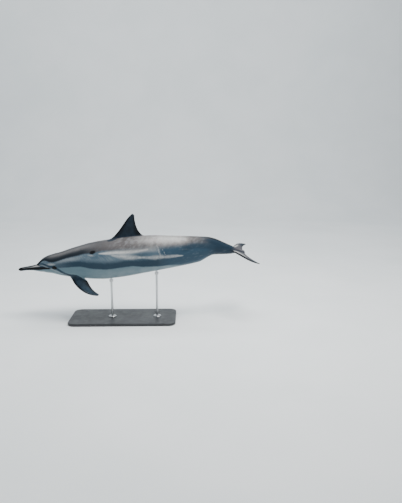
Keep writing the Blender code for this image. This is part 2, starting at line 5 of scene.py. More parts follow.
import bmesh
import bpy
import numpy as np
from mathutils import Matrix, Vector


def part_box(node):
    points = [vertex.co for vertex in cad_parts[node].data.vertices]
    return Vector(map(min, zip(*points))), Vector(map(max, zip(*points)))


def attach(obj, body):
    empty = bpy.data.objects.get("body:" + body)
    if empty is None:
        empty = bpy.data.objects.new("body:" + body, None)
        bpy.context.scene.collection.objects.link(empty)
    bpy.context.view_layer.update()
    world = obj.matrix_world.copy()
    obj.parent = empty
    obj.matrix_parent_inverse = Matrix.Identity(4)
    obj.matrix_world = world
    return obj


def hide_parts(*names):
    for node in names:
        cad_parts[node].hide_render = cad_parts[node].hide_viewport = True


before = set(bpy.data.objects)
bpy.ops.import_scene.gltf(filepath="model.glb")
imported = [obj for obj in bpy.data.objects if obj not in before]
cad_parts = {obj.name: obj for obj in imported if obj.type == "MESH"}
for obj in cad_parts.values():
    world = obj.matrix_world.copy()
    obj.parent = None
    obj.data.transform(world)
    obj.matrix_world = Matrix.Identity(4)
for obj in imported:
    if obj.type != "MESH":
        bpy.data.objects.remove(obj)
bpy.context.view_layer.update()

# ---------------------------------------------------------------- dimensions shared with the solids
# A station is a share of the body length from the beak's tip; a turn is 0 on top, 0.25 on the left side
# and 0.5 below. Lengths in the tables of outlines are shares of the body length too.
BODY_LENGTH = 1.858  # tip of the upper jaw to the notch between the flukes
AXIS_HEIGHT = 0.52  # of the spine line at the station over the origin, above the floor
ORIGIN_STATION = 0.4525
GAPE = 0.143  # station of the mouth's corner

# The last three rows, the ridge between the flukes, are thinner here than in the solids.
BODY_OUTLINE = (
    # station, top, bottom, half width, side level, crest, keel
    (0.058, 0.0010, 0.0045, 0.0028, -0.0038, 1.00, 1.00),
    (0.076, 0.0065, 0.0105, 0.0066, -0.0043, 1.00, 1.00),
    (0.091, 0.0175, 0.0190, 0.0142, -0.0048, 1.00, 1.00),
    (0.106, 0.0285, 0.0265, 0.0230, -0.0058, 1.00, 1.00),
    (0.121, 0.0362, 0.0320, 0.0303, -0.0070, 1.00, 1.00),
    (0.144, 0.0430, 0.0375, 0.0390, -0.0085, 1.00, 1.00),
    (0.169, 0.0460, 0.0475, 0.0455, -0.0080, 1.00, 1.00),
    (0.199, 0.0508, 0.0575, 0.0525, -0.0060, 1.00, 1.00),
    (0.233, 0.0590, 0.0660, 0.0600, -0.0040, 1.00, 1.00),
    (0.278, 0.0682, 0.0752, 0.0670, -0.0020, 1.00, 1.00),
    (0.323, 0.0762, 0.0832, 0.0715, 0.0000, 1.00, 1.00),
    (0.383, 0.0817, 0.0886, 0.0740, 0.0000, 1.02, 1.00),
    (0.452, 0.0846, 0.0866, 0.0730, 0.0000, 1.05, 1.00),
    (0.522, 0.0868, 0.0811, 0.0690, 0.0000, 1.10, 1.02),
    (0.592, 0.0838, 0.0751, 0.0610, 0.0000, 1.15, 1.05),
    (0.662, 0.0762, 0.0691, 0.0505, 0.0000, 1.25, 1.15),
    (0.731, 0.0686, 0.0622, 0.0385, 0.0000, 1.40, 1.30),
    (0.791, 0.0617, 0.0532, 0.0285, 0.0000, 1.50, 1.45),
    (0.821, 0.0587, 0.0385, 0.0240, 0.0000, 1.50, 1.50),
    (0.851, 0.0517, 0.0255, 0.0200, 0.0000, 1.50, 1.50),
    (0.896, 0.0315, 0.0240, 0.0150, 0.0000, 1.40, 1.40),
    (0.935, 0.0175, 0.0200, 0.0130, 0.0000, 1.25, 1.25),
    (0.965, 0.0078, 0.0085, 0.0130, 0.0000, 1.10, 1.10),
    (0.985, 0.0027, 0.0032, 0.0125, 0.0000, 1.00, 1.00),
    (1.000, 0.0010, 0.0010, 0.0095, 0.0000, 1.00, 1.00),
)
BEAK_OUTLINE = (
    # station, top, bottom, half width, side level
    (0.000, 0.0014, 0.0018, 0.0020, -0.0006),
    (0.002, 0.0042, 0.0048, 0.0050, -0.0007),
    (0.006, 0.0062, 0.0068, 0.0071, -0.0009),
    (0.012, 0.0073, 0.0080, 0.0083, -0.0010),
    (0.034, 0.0077, 0.0092, 0.0090, -0.0016),
    (0.059, 0.0084, 0.0130, 0.0110, -0.0030),
    (0.084, 0.0098, 0.0208, 0.0168, -0.0048),
    (0.104, 0.0125, 0.0262, 0.0236, -0.0062),
    (0.129, 0.0130, 0.0250, 0.0300, -0.0080),
    (0.154, 0.0090, 0.0230, 0.0310, -0.0088),
    (0.179, 0.0020, 0.0100, 0.0150, -0.0080),
)
BEAK_BLEND = 0.0024  # how softly the beak runs into the head

SPINE_HEADING = (
    # station, then climb, swing and roll in degrees
    (0.0, 9.5, 0.0, 3.0), (0.12, 8.5, 0.0, 3.0), (0.25, 5.5, 0.0, 3.0), (0.5, 5.5, 0.0, 4.0),
    (0.6, 5.0, 1.0, 4.0), (0.75, 3.5, 5.0, 5.0), (0.86, 0.0, 10.0, 7.0), (0.93, -8.5, 13.0, 10.0),
    (1.0, -11.0, 16.0, 16.5),
)

EYE_STATION = 0.167
EYE_LEVEL = -0.0060  # above the spine line, as a share of the body length
EYE_RADIUS = 0.0125
EYE_DEPTH = 0.0100  # of the eyeball's centre under the skin

# ---------------------------------------------------------------- resolution of the skin
COLUMNS = 192
QUARTER = COLUMNS // 4
LIP_CROWDING, TOP_CROWDING = 5.0, 1.4  # how much closer the head's columns stand there
ROW_SPANS = (
    # last station, rows: close together at the crease and round the eyes
    (0.002, 4), (0.012, 8), (0.074, 33), (0.106, 36), (0.154, 36), (0.184, 56), (0.222, 18),
    (0.286, 30), (0.408, 32), (0.56, 44), (0.93, 66), (0.996, 30), (1.0, 3),
)


# Values that mean: nowhere near, in millimetres and in half widths of a marking.
FAR_MM = 400.0
FAR_WIDTHS = 20.0


# ---------------------------------------------------------------- curves
def smooth_columns(table, at, spread=0.0):
    """Columns of a table read at these stations by a curve that never overshoots, averaged over spread."""
    rows = np.array(table, float)
    knots, values = rows[:, 0], rows[:, 1:]
    gaps = np.diff(knots)[:, None]
    slopes = np.diff(values, axis=0) / gaps
    before, after = slopes[:-1], slopes[1:]
    tangents = np.zeros_like(values)
    same_way = before * after > 0
    mean = 2 * before * after / np.where(same_way, before + after, 1)
    tangents[1:-1] = np.where(same_way, mean, 0)
    tangents[0], tangents[-1] = slopes[0], slopes[-1]
    total = 0
    for shift, weight in ((-2, 1), (-1, 4), (0, 6), (1, 4), (2, 1)):
        x = np.clip(np.asarray(at, float) + shift * spread / 2, knots[0], knots[-1])
        k = np.clip(np.searchsorted(knots, x, side="right") - 1, 0, len(knots) - 2)
        gap = gaps[k]
        s = (x[:, None] - knots[k][:, None]) / gap
        total = total + weight / 16 * (
            values[k] * (1 + 2 * s) * (1 - s) ** 2
            + tangents[k] * gap * s * (1 - s) ** 2
            + values[k + 1] * s**2 * (3 - 2 * s)
            + tangents[k + 1] * gap * s**2 * (s - 1)
        )
    return total


def line_at(table, at, spread=0.02):
    return smooth_columns(table, np.ravel(at), spread)[:, 0].reshape(np.shape(at))


def bezier(points, u):
    a, b, c, d = (np.array(p, float) for p in points)
    v = 1 - u
    return a * v**3 + b * 3 * v * v * u + c * 3 * v * u * u + d * u**3


def soft_max(a, b, width):
    share = np.clip(0.5 + 0.5 * (a - b) / width, 0, 1)
    return b + (a - b) * share + width * share * (1 - share)


def smooth_step(x, low, high):
    s = np.clip((np.asarray(x, float) - low) / (high - low), 0, 1)
    return s * s * (3 - 2 * s)


def bump(x, width):
    return np.exp(-((x / width) ** 2))


def unit(v):
    return v / np.linalg.norm(v, axis=-1, keepdims=True)


# ---------------------------------------------------------------- spine and body surface
SPINE_STEPS = 800


def spine_line():
    at = np.linspace(0, 1, SPINE_STEPS + 1)
    heading = np.radians(smooth_columns(SPINE_HEADING, at, 0.03))
    climb, swing = (heading[1:, :2] + heading[:-1, :2]).T / 2
    aft = np.stack([np.cos(climb) * np.cos(swing), np.cos(climb) * np.sin(swing), np.sin(climb)], 1)
    places = np.concatenate([[[0, 0, 0]], np.cumsum(aft, 0) * BODY_LENGTH / SPINE_STEPS])
    middle = places[int(round(ORIGIN_STATION * SPINE_STEPS))]
    return at, places - middle + (0, 0, AXIS_HEIGHT), heading


SPINE = spine_line()


def spine_frame(station):
    """Point, aft, right and up directions of the spine at one station."""
    at, places, heading = SPINE
    point = np.array([np.interp(station, at, column) for column in places.T])
    climb, swing, roll = (np.interp(station, at, column) for column in heading.T)
    aft = np.array(
        [math.cos(climb) * math.cos(swing), math.cos(climb) * math.sin(swing), math.sin(climb)]
    )
    side = np.array([-math.sin(swing), math.cos(swing), 0.0])
    up = np.cross(aft, side)
    return (
        point,
        aft,
        side * math.cos(roll) + up * math.sin(roll),
        up * math.cos(roll) - side * math.sin(roll),
    )


SECTION_SAMPLES = np.linspace(-math.pi / 2, math.pi / 2, 1441)


def section_radii(shape, angles):
    """Distance from the spine line to one section's outline in each polar direction."""
    top, bottom, half_width, level, crest, keel = shape
    a = SECTION_SAMPLES
    y = half_width * np.cos(a).clip(0) ** np.where(a > 0, crest, keel)
    z = level + np.where(a > 0, top - level, bottom + level) * np.sin(a)
    return np.interp(angles, np.arctan2(z, y), np.hypot(y, z))


def ring(station, around):
    """Points of the body's outline at one station, in metres beside the spine: right and up.

    The second value is how far the head's outline stands outside the beak's: 0 at the crease.
    """
    body = smooth_columns(BODY_OUTLINE, [station], 0.012)[0]
    beak = np.append(smooth_columns(BEAK_OUTLINE, [station], 0.004)[0], (1, 1))
    inside_beak = station < BODY_OUTLINE[0][0]
    covered = station > BEAK_OUTLINE[-1][0]
    guide = beak if inside_beak else body
    if not inside_beak and not covered:
        guide = np.maximum(body, beak)
        guide[3] = beak[3] + (body[3] - beak[3]) * np.clip((station - GAPE) / 0.03, 0, 1)
    turn = 2 * math.pi * np.asarray(around, float)
    rise, reach = np.cos(turn), np.sin(turn)
    z = guide[3] + np.where(rise > 0, guide[0] - guide[3], guide[1] + guide[3]) * rise
    angle = np.arctan2(z, np.abs(reach) * guide[2])
    lead = np.full(len(angle), -0.05 if inside_beak else 0.05)
    if inside_beak:
        radius = section_radii(beak, angle)
    elif covered:
        radius = section_radii(body, angle)
    else:
        outer, inner = section_radii(body, angle), section_radii(beak, angle)
        radius = soft_max(outer, inner, BEAK_BLEND)
        lead = outer - inner
    side = np.where(reach > 0, -1, 1)
    flat = np.stack([side * radius * np.cos(angle), radius * np.sin(angle)], 1)
    return flat * BODY_LENGTH, lead * BODY_LENGTH


def body_points(station, around):
    point, _, right, up = spine_frame(station)
    flat, _ = ring(station, around)
    return point + flat[:, :1] * right + flat[:, 1:] * up


def row_stations():
    stations, start = [0.0], 0.0
    for end, count in ROW_SPANS:
        stations += [start + (end - start) * (k + 1) / count for k in range(count)]
        start = end
    return np.array(stations)


def head_columns():
    """Turns of the columns on the head: close together along the lips and the eyes."""
    fine = np.linspace(0, 0.25, 2001)
    above = 1 + LIP_CROWDING * bump(fine - 0.25, 0.040) + TOP_CROWDING * bump(fine, 0.030)
    below = 1 + LIP_CROWDING * bump(fine, 0.022)
    turns = []
    for density, start in ((above, 0.0), (below, 0.25)):
        total = np.concatenate([[0], np.cumsum((density[1:] + density[:-1]) / 2)])
        turns.append(start + np.interp(np.arange(QUARTER) / QUARTER, total / total[-1], fine))
    half = np.concatenate(turns + [[0.5]])
    return np.concatenate([half, 1 - half[-2:0:-1]])


STATIONS = row_stations()
EVEN = np.arange(COLUMNS) / COLUMNS
HEADWISE = head_columns()
EVEN_SHARE = smooth_step(STATIONS, 0.182, 0.222)[:, None]
AROUND = HEADWISE * (1 - EVEN_SHARE) + EVEN * EVEN_SHARE
BODY = np.array([body_points(s, a) for s, a in zip(STATIONS, AROUND)])
LEAD = np.array([ring(s, a)[1] for s, a in zip(STATIONS, AROUND)])
FOLDED = np.minimum(AROUND, 1 - AROUND)  # turn from the middle of the back, on either side


def body_normals(points):
    along = np.gradient(points, axis=0)
    across = (np.roll(points, -1, 1) - np.roll(points, 1, 1)) / 2
    normals = unit(np.cross(across, along))
    middle = np.array([spine_frame(s)[0] for s in STATIONS])[:, None]
    flip = np.sum(normals * (points - middle), -1).mean() < 0
    return -normals if flip else normals


NORMALS = body_normals(BODY)


def nearest_row(station):
    return int(np.argmin(np.abs(STATIONS - station)))


def surface_spot(station, turn):
    """A point of the skin with its outward normal, aft and upward directions."""
    i = nearest_row(station)
    j = int(np.argmin(np.abs(AROUND[i] - turn)))
    point, normal = BODY[i, j], NORMALS[i, j]
    aft = BODY[i + 1, j] - BODY[i - 1, j]
    aft = unit(aft - normal * (aft @ normal))
    up = np.cross(normal, aft)
    return point, normal, aft, up if up[2] > 0 else -up


# ---------------------------------------------------------------- eyes
def eye_place(hand):
    """Centre of an eyeball and the direction that it looks, out of the head's side."""
    point, _, _, _ = spine_frame(EYE_STATION)
    around = np.linspace(0.1, 0.4, 301)
    flat, _ = ring(EYE_STATION, around)
    nearest = int(np.argmin(np.abs(flat[:, 1] - EYE_LEVEL * BODY_LENGTH)))
    turns = around[[nearest - 3, nearest, nearest + 3]]
    turns = turns if hand > 0 else 1 - turns
    below, here, above = body_points(EYE_STATION, turns)
    ahead = body_points(EYE_STATION - 0.004, turns[1:2])[0]
    astern = body_points(EYE_STATION + 0.004, turns[1:2])[0]
    facing = unit(np.cross(above - below, astern - ahead))
    if facing @ (here - point) < 0:
        facing = -facing
    aft = unit(astern - ahead)
    up = np.cross(facing, aft)
    return here - facing * EYE_DEPTH, facing, aft, up if up[2] > 0 else -up


# The opening between the lids: half length and half height, and how its corners droop.
LID_LENGTH, LID_HEIGHT = 0.0108, 0.0048


def lid_distance(a, b):
    """Metres outside the opening between the lids, at a aft and b above the eye's centre."""
    span = np.clip(1 - (np.abs(a) / LID_LENGTH) ** 2.2, 0, None)
    upper = LID_HEIGHT * span**0.62
    lower = -LID_HEIGHT * 0.82 * span**0.75
    slant = -0.10 * a
    inside = np.minimum(upper - (b - slant), (b - slant) - lower)
    return np.where(np.abs(a) < LID_LENGTH, -inside, np.hypot(np.abs(a) - LID_LENGTH, b - slant))


# ---------------------------------------------------------------- relief of the skin
def crescent_distance(a, b, radius, half_angle):
    """Metres from an arc that bulges aft, centred on the origin, with (a, b) aft and across."""
    angle = np.arctan2(b, a + radius)
    beyond = np.clip(np.abs(angle) - half_angle, 0, None) * radius
    return np.hypot(np.hypot(a + radius, b) - radius, beyond)


BLOWHOLE_STATION = 0.167
BLOWHOLE_TURN = 0.010
BLOWHOLE_RADIUS, BLOWHOLE_HALF_ANGLE = 0.012, 1.05
EYE_REACH, BLOWHOLE_REACH = 0.06, 0.05  # how far their folds are looked for
FOLD_SLANT = 1.2  # of the fold behind the mouth's corner, in turns per station
CORNER_TURN = 0.241  # of the mouth's corner
LIP_CURL = ((0.0, 0.250), (0.110, 0.250), (0.128, 0.247), (GAPE, CORNER_TURN), (0.2, CORNER_TURN))


# The mouth's groove and the lips on both its sides: height, place above the mouth line and width, in metres.
LIP_FOLDS = ((-0.0016, 0.0, 0.0011), (0.0007, 0.0034, 0.0022), (0.0004, -0.0034, 0.0020))


def perimeter_share(points):
    """Metres round the ring for one turn, at each point."""
    step = np.linalg.norm(np.roll(points, -1, 1) - np.roll(points, 1, 1), axis=-1)
    turns = np.abs(np.roll(AROUND, -1, 1) - np.roll(AROUND, 1, 1))
    turns = np.where(turns > 0.5, 1 - turns, turns)
    return step / turns


ROUND = perimeter_share(BODY)


def lip_offset():
    """Metres above the mouth line, and how far past its corner."""
    lip = line_at(LIP_CURL, STATIONS, 0.01)[:, None]
    above = (lip - FOLDED) * ROUND
    past = np.clip(STATIONS - GAPE, 0, None)[:, None] * BODY_LENGTH
    return above, past


def relief():
    """Height of the skin's folds over the plain surface, with the masks that colour them."""
    height = np.zeros(BODY.shape[:2])
    masks = {}
    above, past = lip_offset()
    front = smooth_step(STATIONS, 0.0005, 0.006)[:, None]
    corner = bump(past, 0.004)
    masks["lip_mm"] = np.hypot(above, past) * 1000 + 40 * smooth_step(STATIONS, 0.15, 0.2)[:, None]
    for rise, middle, width in LIP_FOLDS:
        height += rise * bump(above - middle, width) * front * corner
    # a short fold runs on from the corner of the mouth
    fold = (FOLDED - CORNER_TURN - FOLD_SLANT * (STATIONS[:, None] - GAPE)) * ROUND
    height -= 0.0007 * bump(fold, 0.0016) * bump(past - 0.010, 0.009) * (past > 0)

    upper = 1 - smooth_step(FOLDED, 0.18, 0.242)
    height -= 0.0014 * bump(LEAD, 0.0022) * upper
    masks["crease_mm"] = np.abs(LEAD) * 1000 + 40 * (1 - upper)

    eye_mm = np.full(height.shape, FAR_MM)
    for hand in (1, -1):
        centre, facing, aft, up = eye_place(hand)
        away = BODY - centre
        a, b, out = away @ aft, away @ up, away @ facing
        near = (np.hypot(a, b) < EYE_REACH) & (out > 0)
        d = lid_distance(a, b)
        rims = 0.0016 * bump(d - 0.0014, 0.0016) + 0.0009 * bump(d - 0.008, 0.006)
        fold_above = 0.0007 * bump(d - 0.0052, 0.0010) * smooth_step(b, 0.0, 0.003)
        fold_below = 0.0005 * bump(d - 0.0060, 0.0012) * smooth_step(-b, 0.0, 0.003)
        hollow_in_front = 0.0020 * bump(d - 0.014, 0.008) * bump(a + 0.016, 0.010)
        socket = 0.0062 * (1 - smooth_step(d, -0.0016, 0.0002))
        height += np.where(near, rims - fold_above - fold_below - hollow_in_front - socket, 0)
        eye_mm = np.where(near, d * 1000, eye_mm)
    masks["eye_mm"] = eye_mm

    point, normal, aft, _ = surface_spot(BLOWHOLE_STATION, BLOWHOLE_TURN)
    across = np.cross(normal, aft)
    away = BODY - point
    a, b = away @ aft, away @ across
    near = (np.hypot(a, b) < BLOWHOLE_REACH) & (away @ normal > -0.02)
    slit = crescent_distance(-a, b, BLOWHOLE_RADIUS, BLOWHOLE_HALF_ANGLE)
    blow = -0.0026 * bump(slit, 0.0013) + 0.0016 * bump(slit - 0.0045, 0.0035)
    blow -= 0.0012 * bump(np.hypot(a - BLOWHOLE_RADIUS, b), 0.010)
    height += np.where(near, blow, 0)
    masks["blow_mm"] = np.where(near, slit * 1000, FAR_MM)
    return height, masks


RELIEF, MASKS = relief()
BODY = BODY + NORMALS * RELIEF[..., None]

# ---------------------------------------------------------------- fins
# Half thickness of a blade's section: factors of the chord's square root and of its powers from 1 on.
AEROFOIL = (2.98, -1.32, -3.286, 2.441, -0.815)
EDGE_THICKNESS = 0.0016
BLADE_START = 0.12  # share of the span where the fillet meets the blade
TIP_START = 0.970  # share of the span where the rounding of the tip begins
TIP_TURNS = (25, 45, 62, 76, 86)
TIP_REACH = 0.0030
CAD_SEGMENTS = 32  # of the solids' sections; the gaps of the fins are counted in them


class Fin:
    """A blade grafted into a gap of the body's grid, with the same control points as the solids."""

    def __init__(self, name, gap, root_at, out, pitch, leading, trailing, thickness, rings):
        self.name = name
        self.first, self.last = nearest_row(gap[0]), nearest_row(gap[1])
        self.low, self.high = (round(turn * COLUMNS) for turn in gap[2:])
        self.leading, self.trailing, self.thickness = leading, trailing, thickness
        self.rings = rings
        front, rear = (body_points(STATIONS[i], [root_at])[0] for i in (self.first, self.last))
        aft = unit(rear - front)
        _, _, right, up_here = spine_frame((STATIONS[self.first] + STATIONS[self.last]) / 2)
        out = right * out[0] + up_here * out[1]
        out = unit(out - aft * (out @ aft))
        turn = math.radians(pitch)
        self.aft = aft * math.cos(turn) + np.cross(aft, out) * math.sin(turn)
        self.out = out
        self.across = np.cross(self.aft, self.out)
        self.origin = front
        self.upward = 1.0 if self.across @ up_here > 0 else -1.0

    def gap_loop(self):
        low, high, first, last = self.low, self.high, self.first, self.last
        front = [(first, j) for j in range(low, high)]
        far = [(i, high) for i in range(first, last)]
        rear = [(last, j) for j in range(high, low, -1)]
        near = [(i, low) for i in range(last, first, -1)]
        return front + far + rear + near

    def edge(self):
        return np.array([BODY[i, j % COLUMNS] for i, j in self.gap_loop()])

    def loop_shares(self):
        width, length = self.high - self.low, self.last - self.first
        nose, tail = 0.05, 0.03
        across = [-1 + 2 * k / width for k in range(width)]
        along = [(1 - nose - tail) * k / length for k in range(length)]
        shares = [(nose * s * s, s) for s in across] + [(nose + run, 1) for run in along]
        shares += [(1 - tail * s * s, -s) for s in across] + [(1 - tail - run, -1) for run in along]
        return np.array(shares)

    def blade_ring(self, u):
        front, rear = bezier(self.leading, u), bezier(self.trailing, u)
        root, tip = self.thickness
        thick = (root + (tip - root) * u) * 0.5
        shares = self.loop_shares()
        chord, side = shares[:, 0], shares[:, 1]
        root_term, *terms = AEROFOIL
        profile = root_term * np.sqrt(chord) + sum(c * chord**k for k, c in enumerate(terms, 1))
        half = thick * profile
        half = np.maximum(half, EDGE_THICKNESS / 2 * np.sqrt(np.clip(1 - chord, 0, 1) * 12).clip(0, 1))
        flat = front + (rear - front) * chord[:, None]
        bulge = half * np.sign(side)
        return (
            self.origin
            + flat[:, :1] * self.aft
            + flat[:, 1:] * self.out
            + bulge[:, None] * self.across
        )

    def all_rings(self, fillet_rings):
        loop = self.gap_loop()
        edge = self.edge()
        shares = BLADE_START + (TIP_START - BLADE_START) * np.linspace(0, 1, self.rings + 1) ** 0.9
        blades = [self.blade_ring(u) for u in shares]
        last = blades[-1]
        middle = (last.max(0) + last.min(0)) / 2
        onward = unit(middle - (blades[-2].max(0) + blades[-2].min(0)) / 2)
        for turn in np.radians(TIP_TURNS):
            shrunk = middle + (last - middle) * math.cos(turn)
            blades.append(shrunk + onward * TIP_REACH * math.sin(turn))
        shares = np.append(shares, np.ones(len(TIP_TURNS)))
        inner = blades[0]
        reach = np.linalg.norm(inner - edge, axis=1)[:, None]
        away = unit(inner - self.blade_ring(BLADE_START * 0.5))
        outside = unit(edge - self.neighbours(loop))
        rings = [edge]
        for k in range(1, fillet_rings):
            s = k / fillet_rings
            rings.append(
                edge * (1 + 2 * s) * (1 - s) ** 2
                + outside * reach * s * (1 - s) ** 2 * FILLET_PULL
                + inner * s * s * (3 - 2 * s)
                + away * reach * s * s * (s - 1) * FILLET_PULL
            )
        return rings + blades, shares

    def neighbours(self, loop):
        found = []
        for i, j in loop:
            di = -3 if i == self.first else (3 if i == self.last else 0)
            dj = -3 if j == self.low else (3 if j == self.high else 0)
            found.append(BODY[min(i + di, len(STATIONS) - 1), (j + dj) % COLUMNS])
        return np.array(found)


def flipper(name, hand, out):
    low, high = (0.375, 0.4375) if hand > 0 else (0.5625, 0.625)
    return Fin(
        name,
        gap=(0.222, 0.286, low, high),
        root_at=(low + high) / 2,
        out=out,
        pitch=0.0,
        leading=((-0.004, -0.007), (0.048, 0.071), (0.134, 0.160), (0.262, 0.143)),
        trailing=((0.102, -0.001), (0.174, 0.017), (0.151, 0.084), (0.268, 0.134)),
        thickness=(0.024, 0.005),
        rings=34,
    )


def fluke(name, hand):
    low, high = (0.25 - 2 / CAD_SEGMENTS, 0.25 + 2 / CAD_SEGMENTS)
    if hand < 0:
        low, high = 1 - high, 1 - low
    return Fin(
        name,
        gap=(0.930, 0.996, low, high),
        root_at=(low + high) / 2,
        out=(-1.0 * hand, 0.0),
        pitch=3.8 * hand,
        leading=((0.000, 0.0), (0.063, 0.047), (0.095, 0.208), (0.200, 0.179)),
        trailing=((0.118, 0.0), (0.132, 0.043), (0.121, 0.094), (0.200, 0.179)),
        thickness=(0.024, 0.005),
        rings=34,
    )


# The dorsal fin's curves and the flippers' four inner points are the rounded result of a search over edge
# points of the photo; the ends of the flippers' curves and the flukes' were set.
FINS = (
    Fin(
        "dorsal_fin",
        gap=(0.408, 0.560, -1 / CAD_SEGMENTS, 1 / CAD_SEGMENTS),
        root_at=0.0,
        out=(0.0, 1.0),
        pitch=0.0,
        leading=((0.000, 0.004), (0.092, 0.035), (0.148, 0.157), (0.216, 0.189)),
        trailing=((0.284, 0.0), (0.237, 0.017), (0.217, 0.096), (0.228, 0.181)),
        thickness=(0.030, 0.008),
        rings=32,
    ),
    flipper("flipper_left", 1, (-0.60, -0.80)),
    flipper("flipper_right", -1, (0.87, -0.50)),
    fluke("fluke_left", 1),
    fluke("fluke_right", -1),
)
FILLET_RINGS = 10
FILLET_PULL = 0.9


# ---------------------------------------------------------------- the skin's mesh
class Skin:
    """Points, faces and colouring values of the one skin; a value that a fin lacks is far away on it."""

    def __init__(self):
        rows, columns = BODY.shape[:2]
        self.points = [BODY.reshape(-1, 3)]
        self.count = rows * columns
        self.caps = []
        self.values = {"station": [np.repeat(STATIONS, columns)], "turn": [FOLDED.ravel()]}
        for name, plain in (("span", 0.0), ("chord", 0.5), ("face", 0.0), ("owner", -1.0), ("soften", 0.0)):
            self.values[name] = [np.full(self.count, plain)]
        for name, mask in MASKS.items():
            self.values[name] = [mask.ravel()]
        gaps = np.zeros((rows - 1, columns), bool)
        for fin in FINS:
            for j in range(fin.low, fin.high):
                gaps[fin.first : fin.last, j % columns] = True
        i, j = np.nonzero(~gaps)
        near, after = i * columns, (j + 1) % columns
        far = near + columns
        self.faces = [np.stack([near + j, near + after, far + after, far + j], 1)]

    def add_ring(self, points, **values):
        start = self.count
        self.points.append(points)
        self.count += len(points)
        for name, parts in self.values.items():
            parts.append(np.broadcast_to(np.asarray(values.get(name, FAR_MM), float), (len(points),)))
        return np.arange(start, self.count)

    def join(self, inner, outer):
        self.faces.append(np.stack([inner, np.roll(inner, -1), np.roll(outer, -1), outer], 1))

    def close(self, fin, ring):
        """Fills the last ring of a blade between its two sides."""
        count, half = len(ring), (fin.high - fin.low) // 2
        across = count // 2
        one = [(half + k) % count for k in range(across + 1)]
        other = [(half - k) % count for k in range(across + 1)]
        for k in range(across):
            corners = [ring[one[k]], ring[one[k + 1]], ring[other[k + 1]], ring[other[k]]]
            if k == 0:
                corners = corners[:3]
            elif k == across - 1:
                corners = [corners[0], corners[1], corners[3]]
            self.caps.append(corners)

    def graft(self, fin):
        loop = fin.gap_loop()
        index = np.array([i * COLUMNS + j % COLUMNS for i, j in loop])
        station = STATIONS[[i for i, _ in loop]]
        turn = np.array([FOLDED[i, j % COLUMNS] for i, j in loop])
        rings, shares = fin.all_rings(FILLET_RINGS)
        chord, across = fin.loop_shares().T
        last = index
        for k, points in enumerate(rings[1:], 1):
            blade = k - FILLET_RINGS
            grown = min(1.0, k / FILLET_RINGS)
            ring = self.add_ring(
                points,
                station=station + (station.mean() - station) * grown * 0.3,
                turn=turn + (turn.mean() - turn) * grown,
                span=shares[blade] if blade >= 0 else BLADE_START * grown,
                chord=chord * grown + 0.5 * (1 - grown),
                face=across * fin.upward * grown,
                owner=FINS.index(fin),
                soften=1.0 if blade < 1 else max(0.0, 1 - blade / 6),
            )
            self.join(last, ring)
            last = ring
        self.close(fin, last)

    def build(self):
        for fin in FINS:
            self.graft(fin)
        rows, columns = BODY.shape[:2]
        for row in (0, rows - 1):
            base = row * columns
            self.caps.append([base + j for j in range(columns)])
        points = np.concatenate(self.points)
        quads = np.concatenate(self.faces)
        values = {name: np.concatenate(parts) for name, parts in self.values.items()}
        for kind in ("dorsal", "flipper", "fluke"):
            values[kind + "_mm"] = root_distance(points, values["owner"], kind)
        points = soften(points, quads, near_fins(points, values["soften"]))
        del values["owner"], values["soften"]
        return points, quads, self.caps, values


def root_distance(points, owner, kind):
    """Millimetres from the root of the nearest fin of this kind: negative on the fin itself."""
    result = np.full(len(points), FAR_MM)
    for number, fin in enumerate(FINS):
        if not fin.name.startswith(kind):
            continue
        edge = fin.edge()
        own = owner == number
        near = np.all((points > edge.min(0) - 0.12) & (points < edge.max(0) + 0.12), 1) | own
        spots = np.nonzero(near)[0]
        gap = np.array([np.linalg.norm(edge - points[k], axis=1).min() for k in spots]) * 1000
        gap = np.where(own[spots], -gap, gap)
        result[spots] = np.minimum(result[spots], gap)
    return result


def near_fins(points, soften_share):
    """How strongly each point is smoothed: fully on the fillets, fading out over the body."""
    share = soften_share.copy()
    flat = BODY.reshape(-1, 3)
    for fin in FINS:
        edge = fin.edge()
        reach = 0.030 if fin.name.startswith("fluke") else 0.036
        low, high = edge.min(0) - reach, edge.max(0) + reach
        box = np.nonzero(np.all((flat > low) & (flat < high), 1))[0]
        gap = np.linalg.norm(flat[box, None] - edge[None], axis=-1).min(1)
        share[box] = np.maximum(share[box], np.clip(1 - gap / reach, 0, 1))
    return share


def soften(points, quads, share, rounds=60):
    """Relaxes the points towards their neighbours' middle, by share."""
    moving = np.nonzero(share > 0)[0]
    edges = np.concatenate([quads[:, [0, 1]], quads[:, [1, 2]], quads[:, [2, 3]], quads[:, [3, 0]]])
    edges = np.concatenate([edges, edges[:, ::-1]])
    edges = np.unique(edges, axis=0)
    keep = share[edges[:, 0]] > 0
    edges = edges[keep]
    local = np.full(len(points), -1)
    local[moving] = np.arange(len(moving))
    rows = local[edges[:, 0]]
    degree = np.bincount(rows, minlength=len(moving))[:, None]
    for _ in range(rounds):
        total = np.zeros((len(moving), 3))
        for axis in range(3):
            total[:, axis] = np.bincount(rows, points[edges[:, 1], axis], len(moving))
        middle = total / np.maximum(degree, 1)
        points[moving] += (middle - points[moving]) * (0.5 * share[moving])[:, None]
    return points


def new_mesh(name, points, faces):
    mesh = bpy.data.meshes.new(name)
    mesh.from_pydata([tuple(p) for p in points], [], faces)
    mesh.update()
    return mesh


def new_object(name, mesh, material):
    mesh.materials.append(material)
    made = bpy.data.objects.new(name, mesh)
    bpy.context.scene.collection.objects.link(made)
    return made


def add_values(mesh, name, data):
    layer = mesh.attributes.new(name, "FLOAT", "POINT")
    layer.data.foreach_set("value", np.ascontiguousarray(data, dtype=np.float32))


def ring_faces(across, rings, closed=False):
    """Quads between successive rings of so many points across."""
    faces = []
    for k in range(rings if closed else rings - 1):
        near, far = k * across, (k + 1) % rings * across
        for m in range(across):
            after = (m + 1) % across
            faces.append((near + m, near + after, far + after, far + m))
    return faces


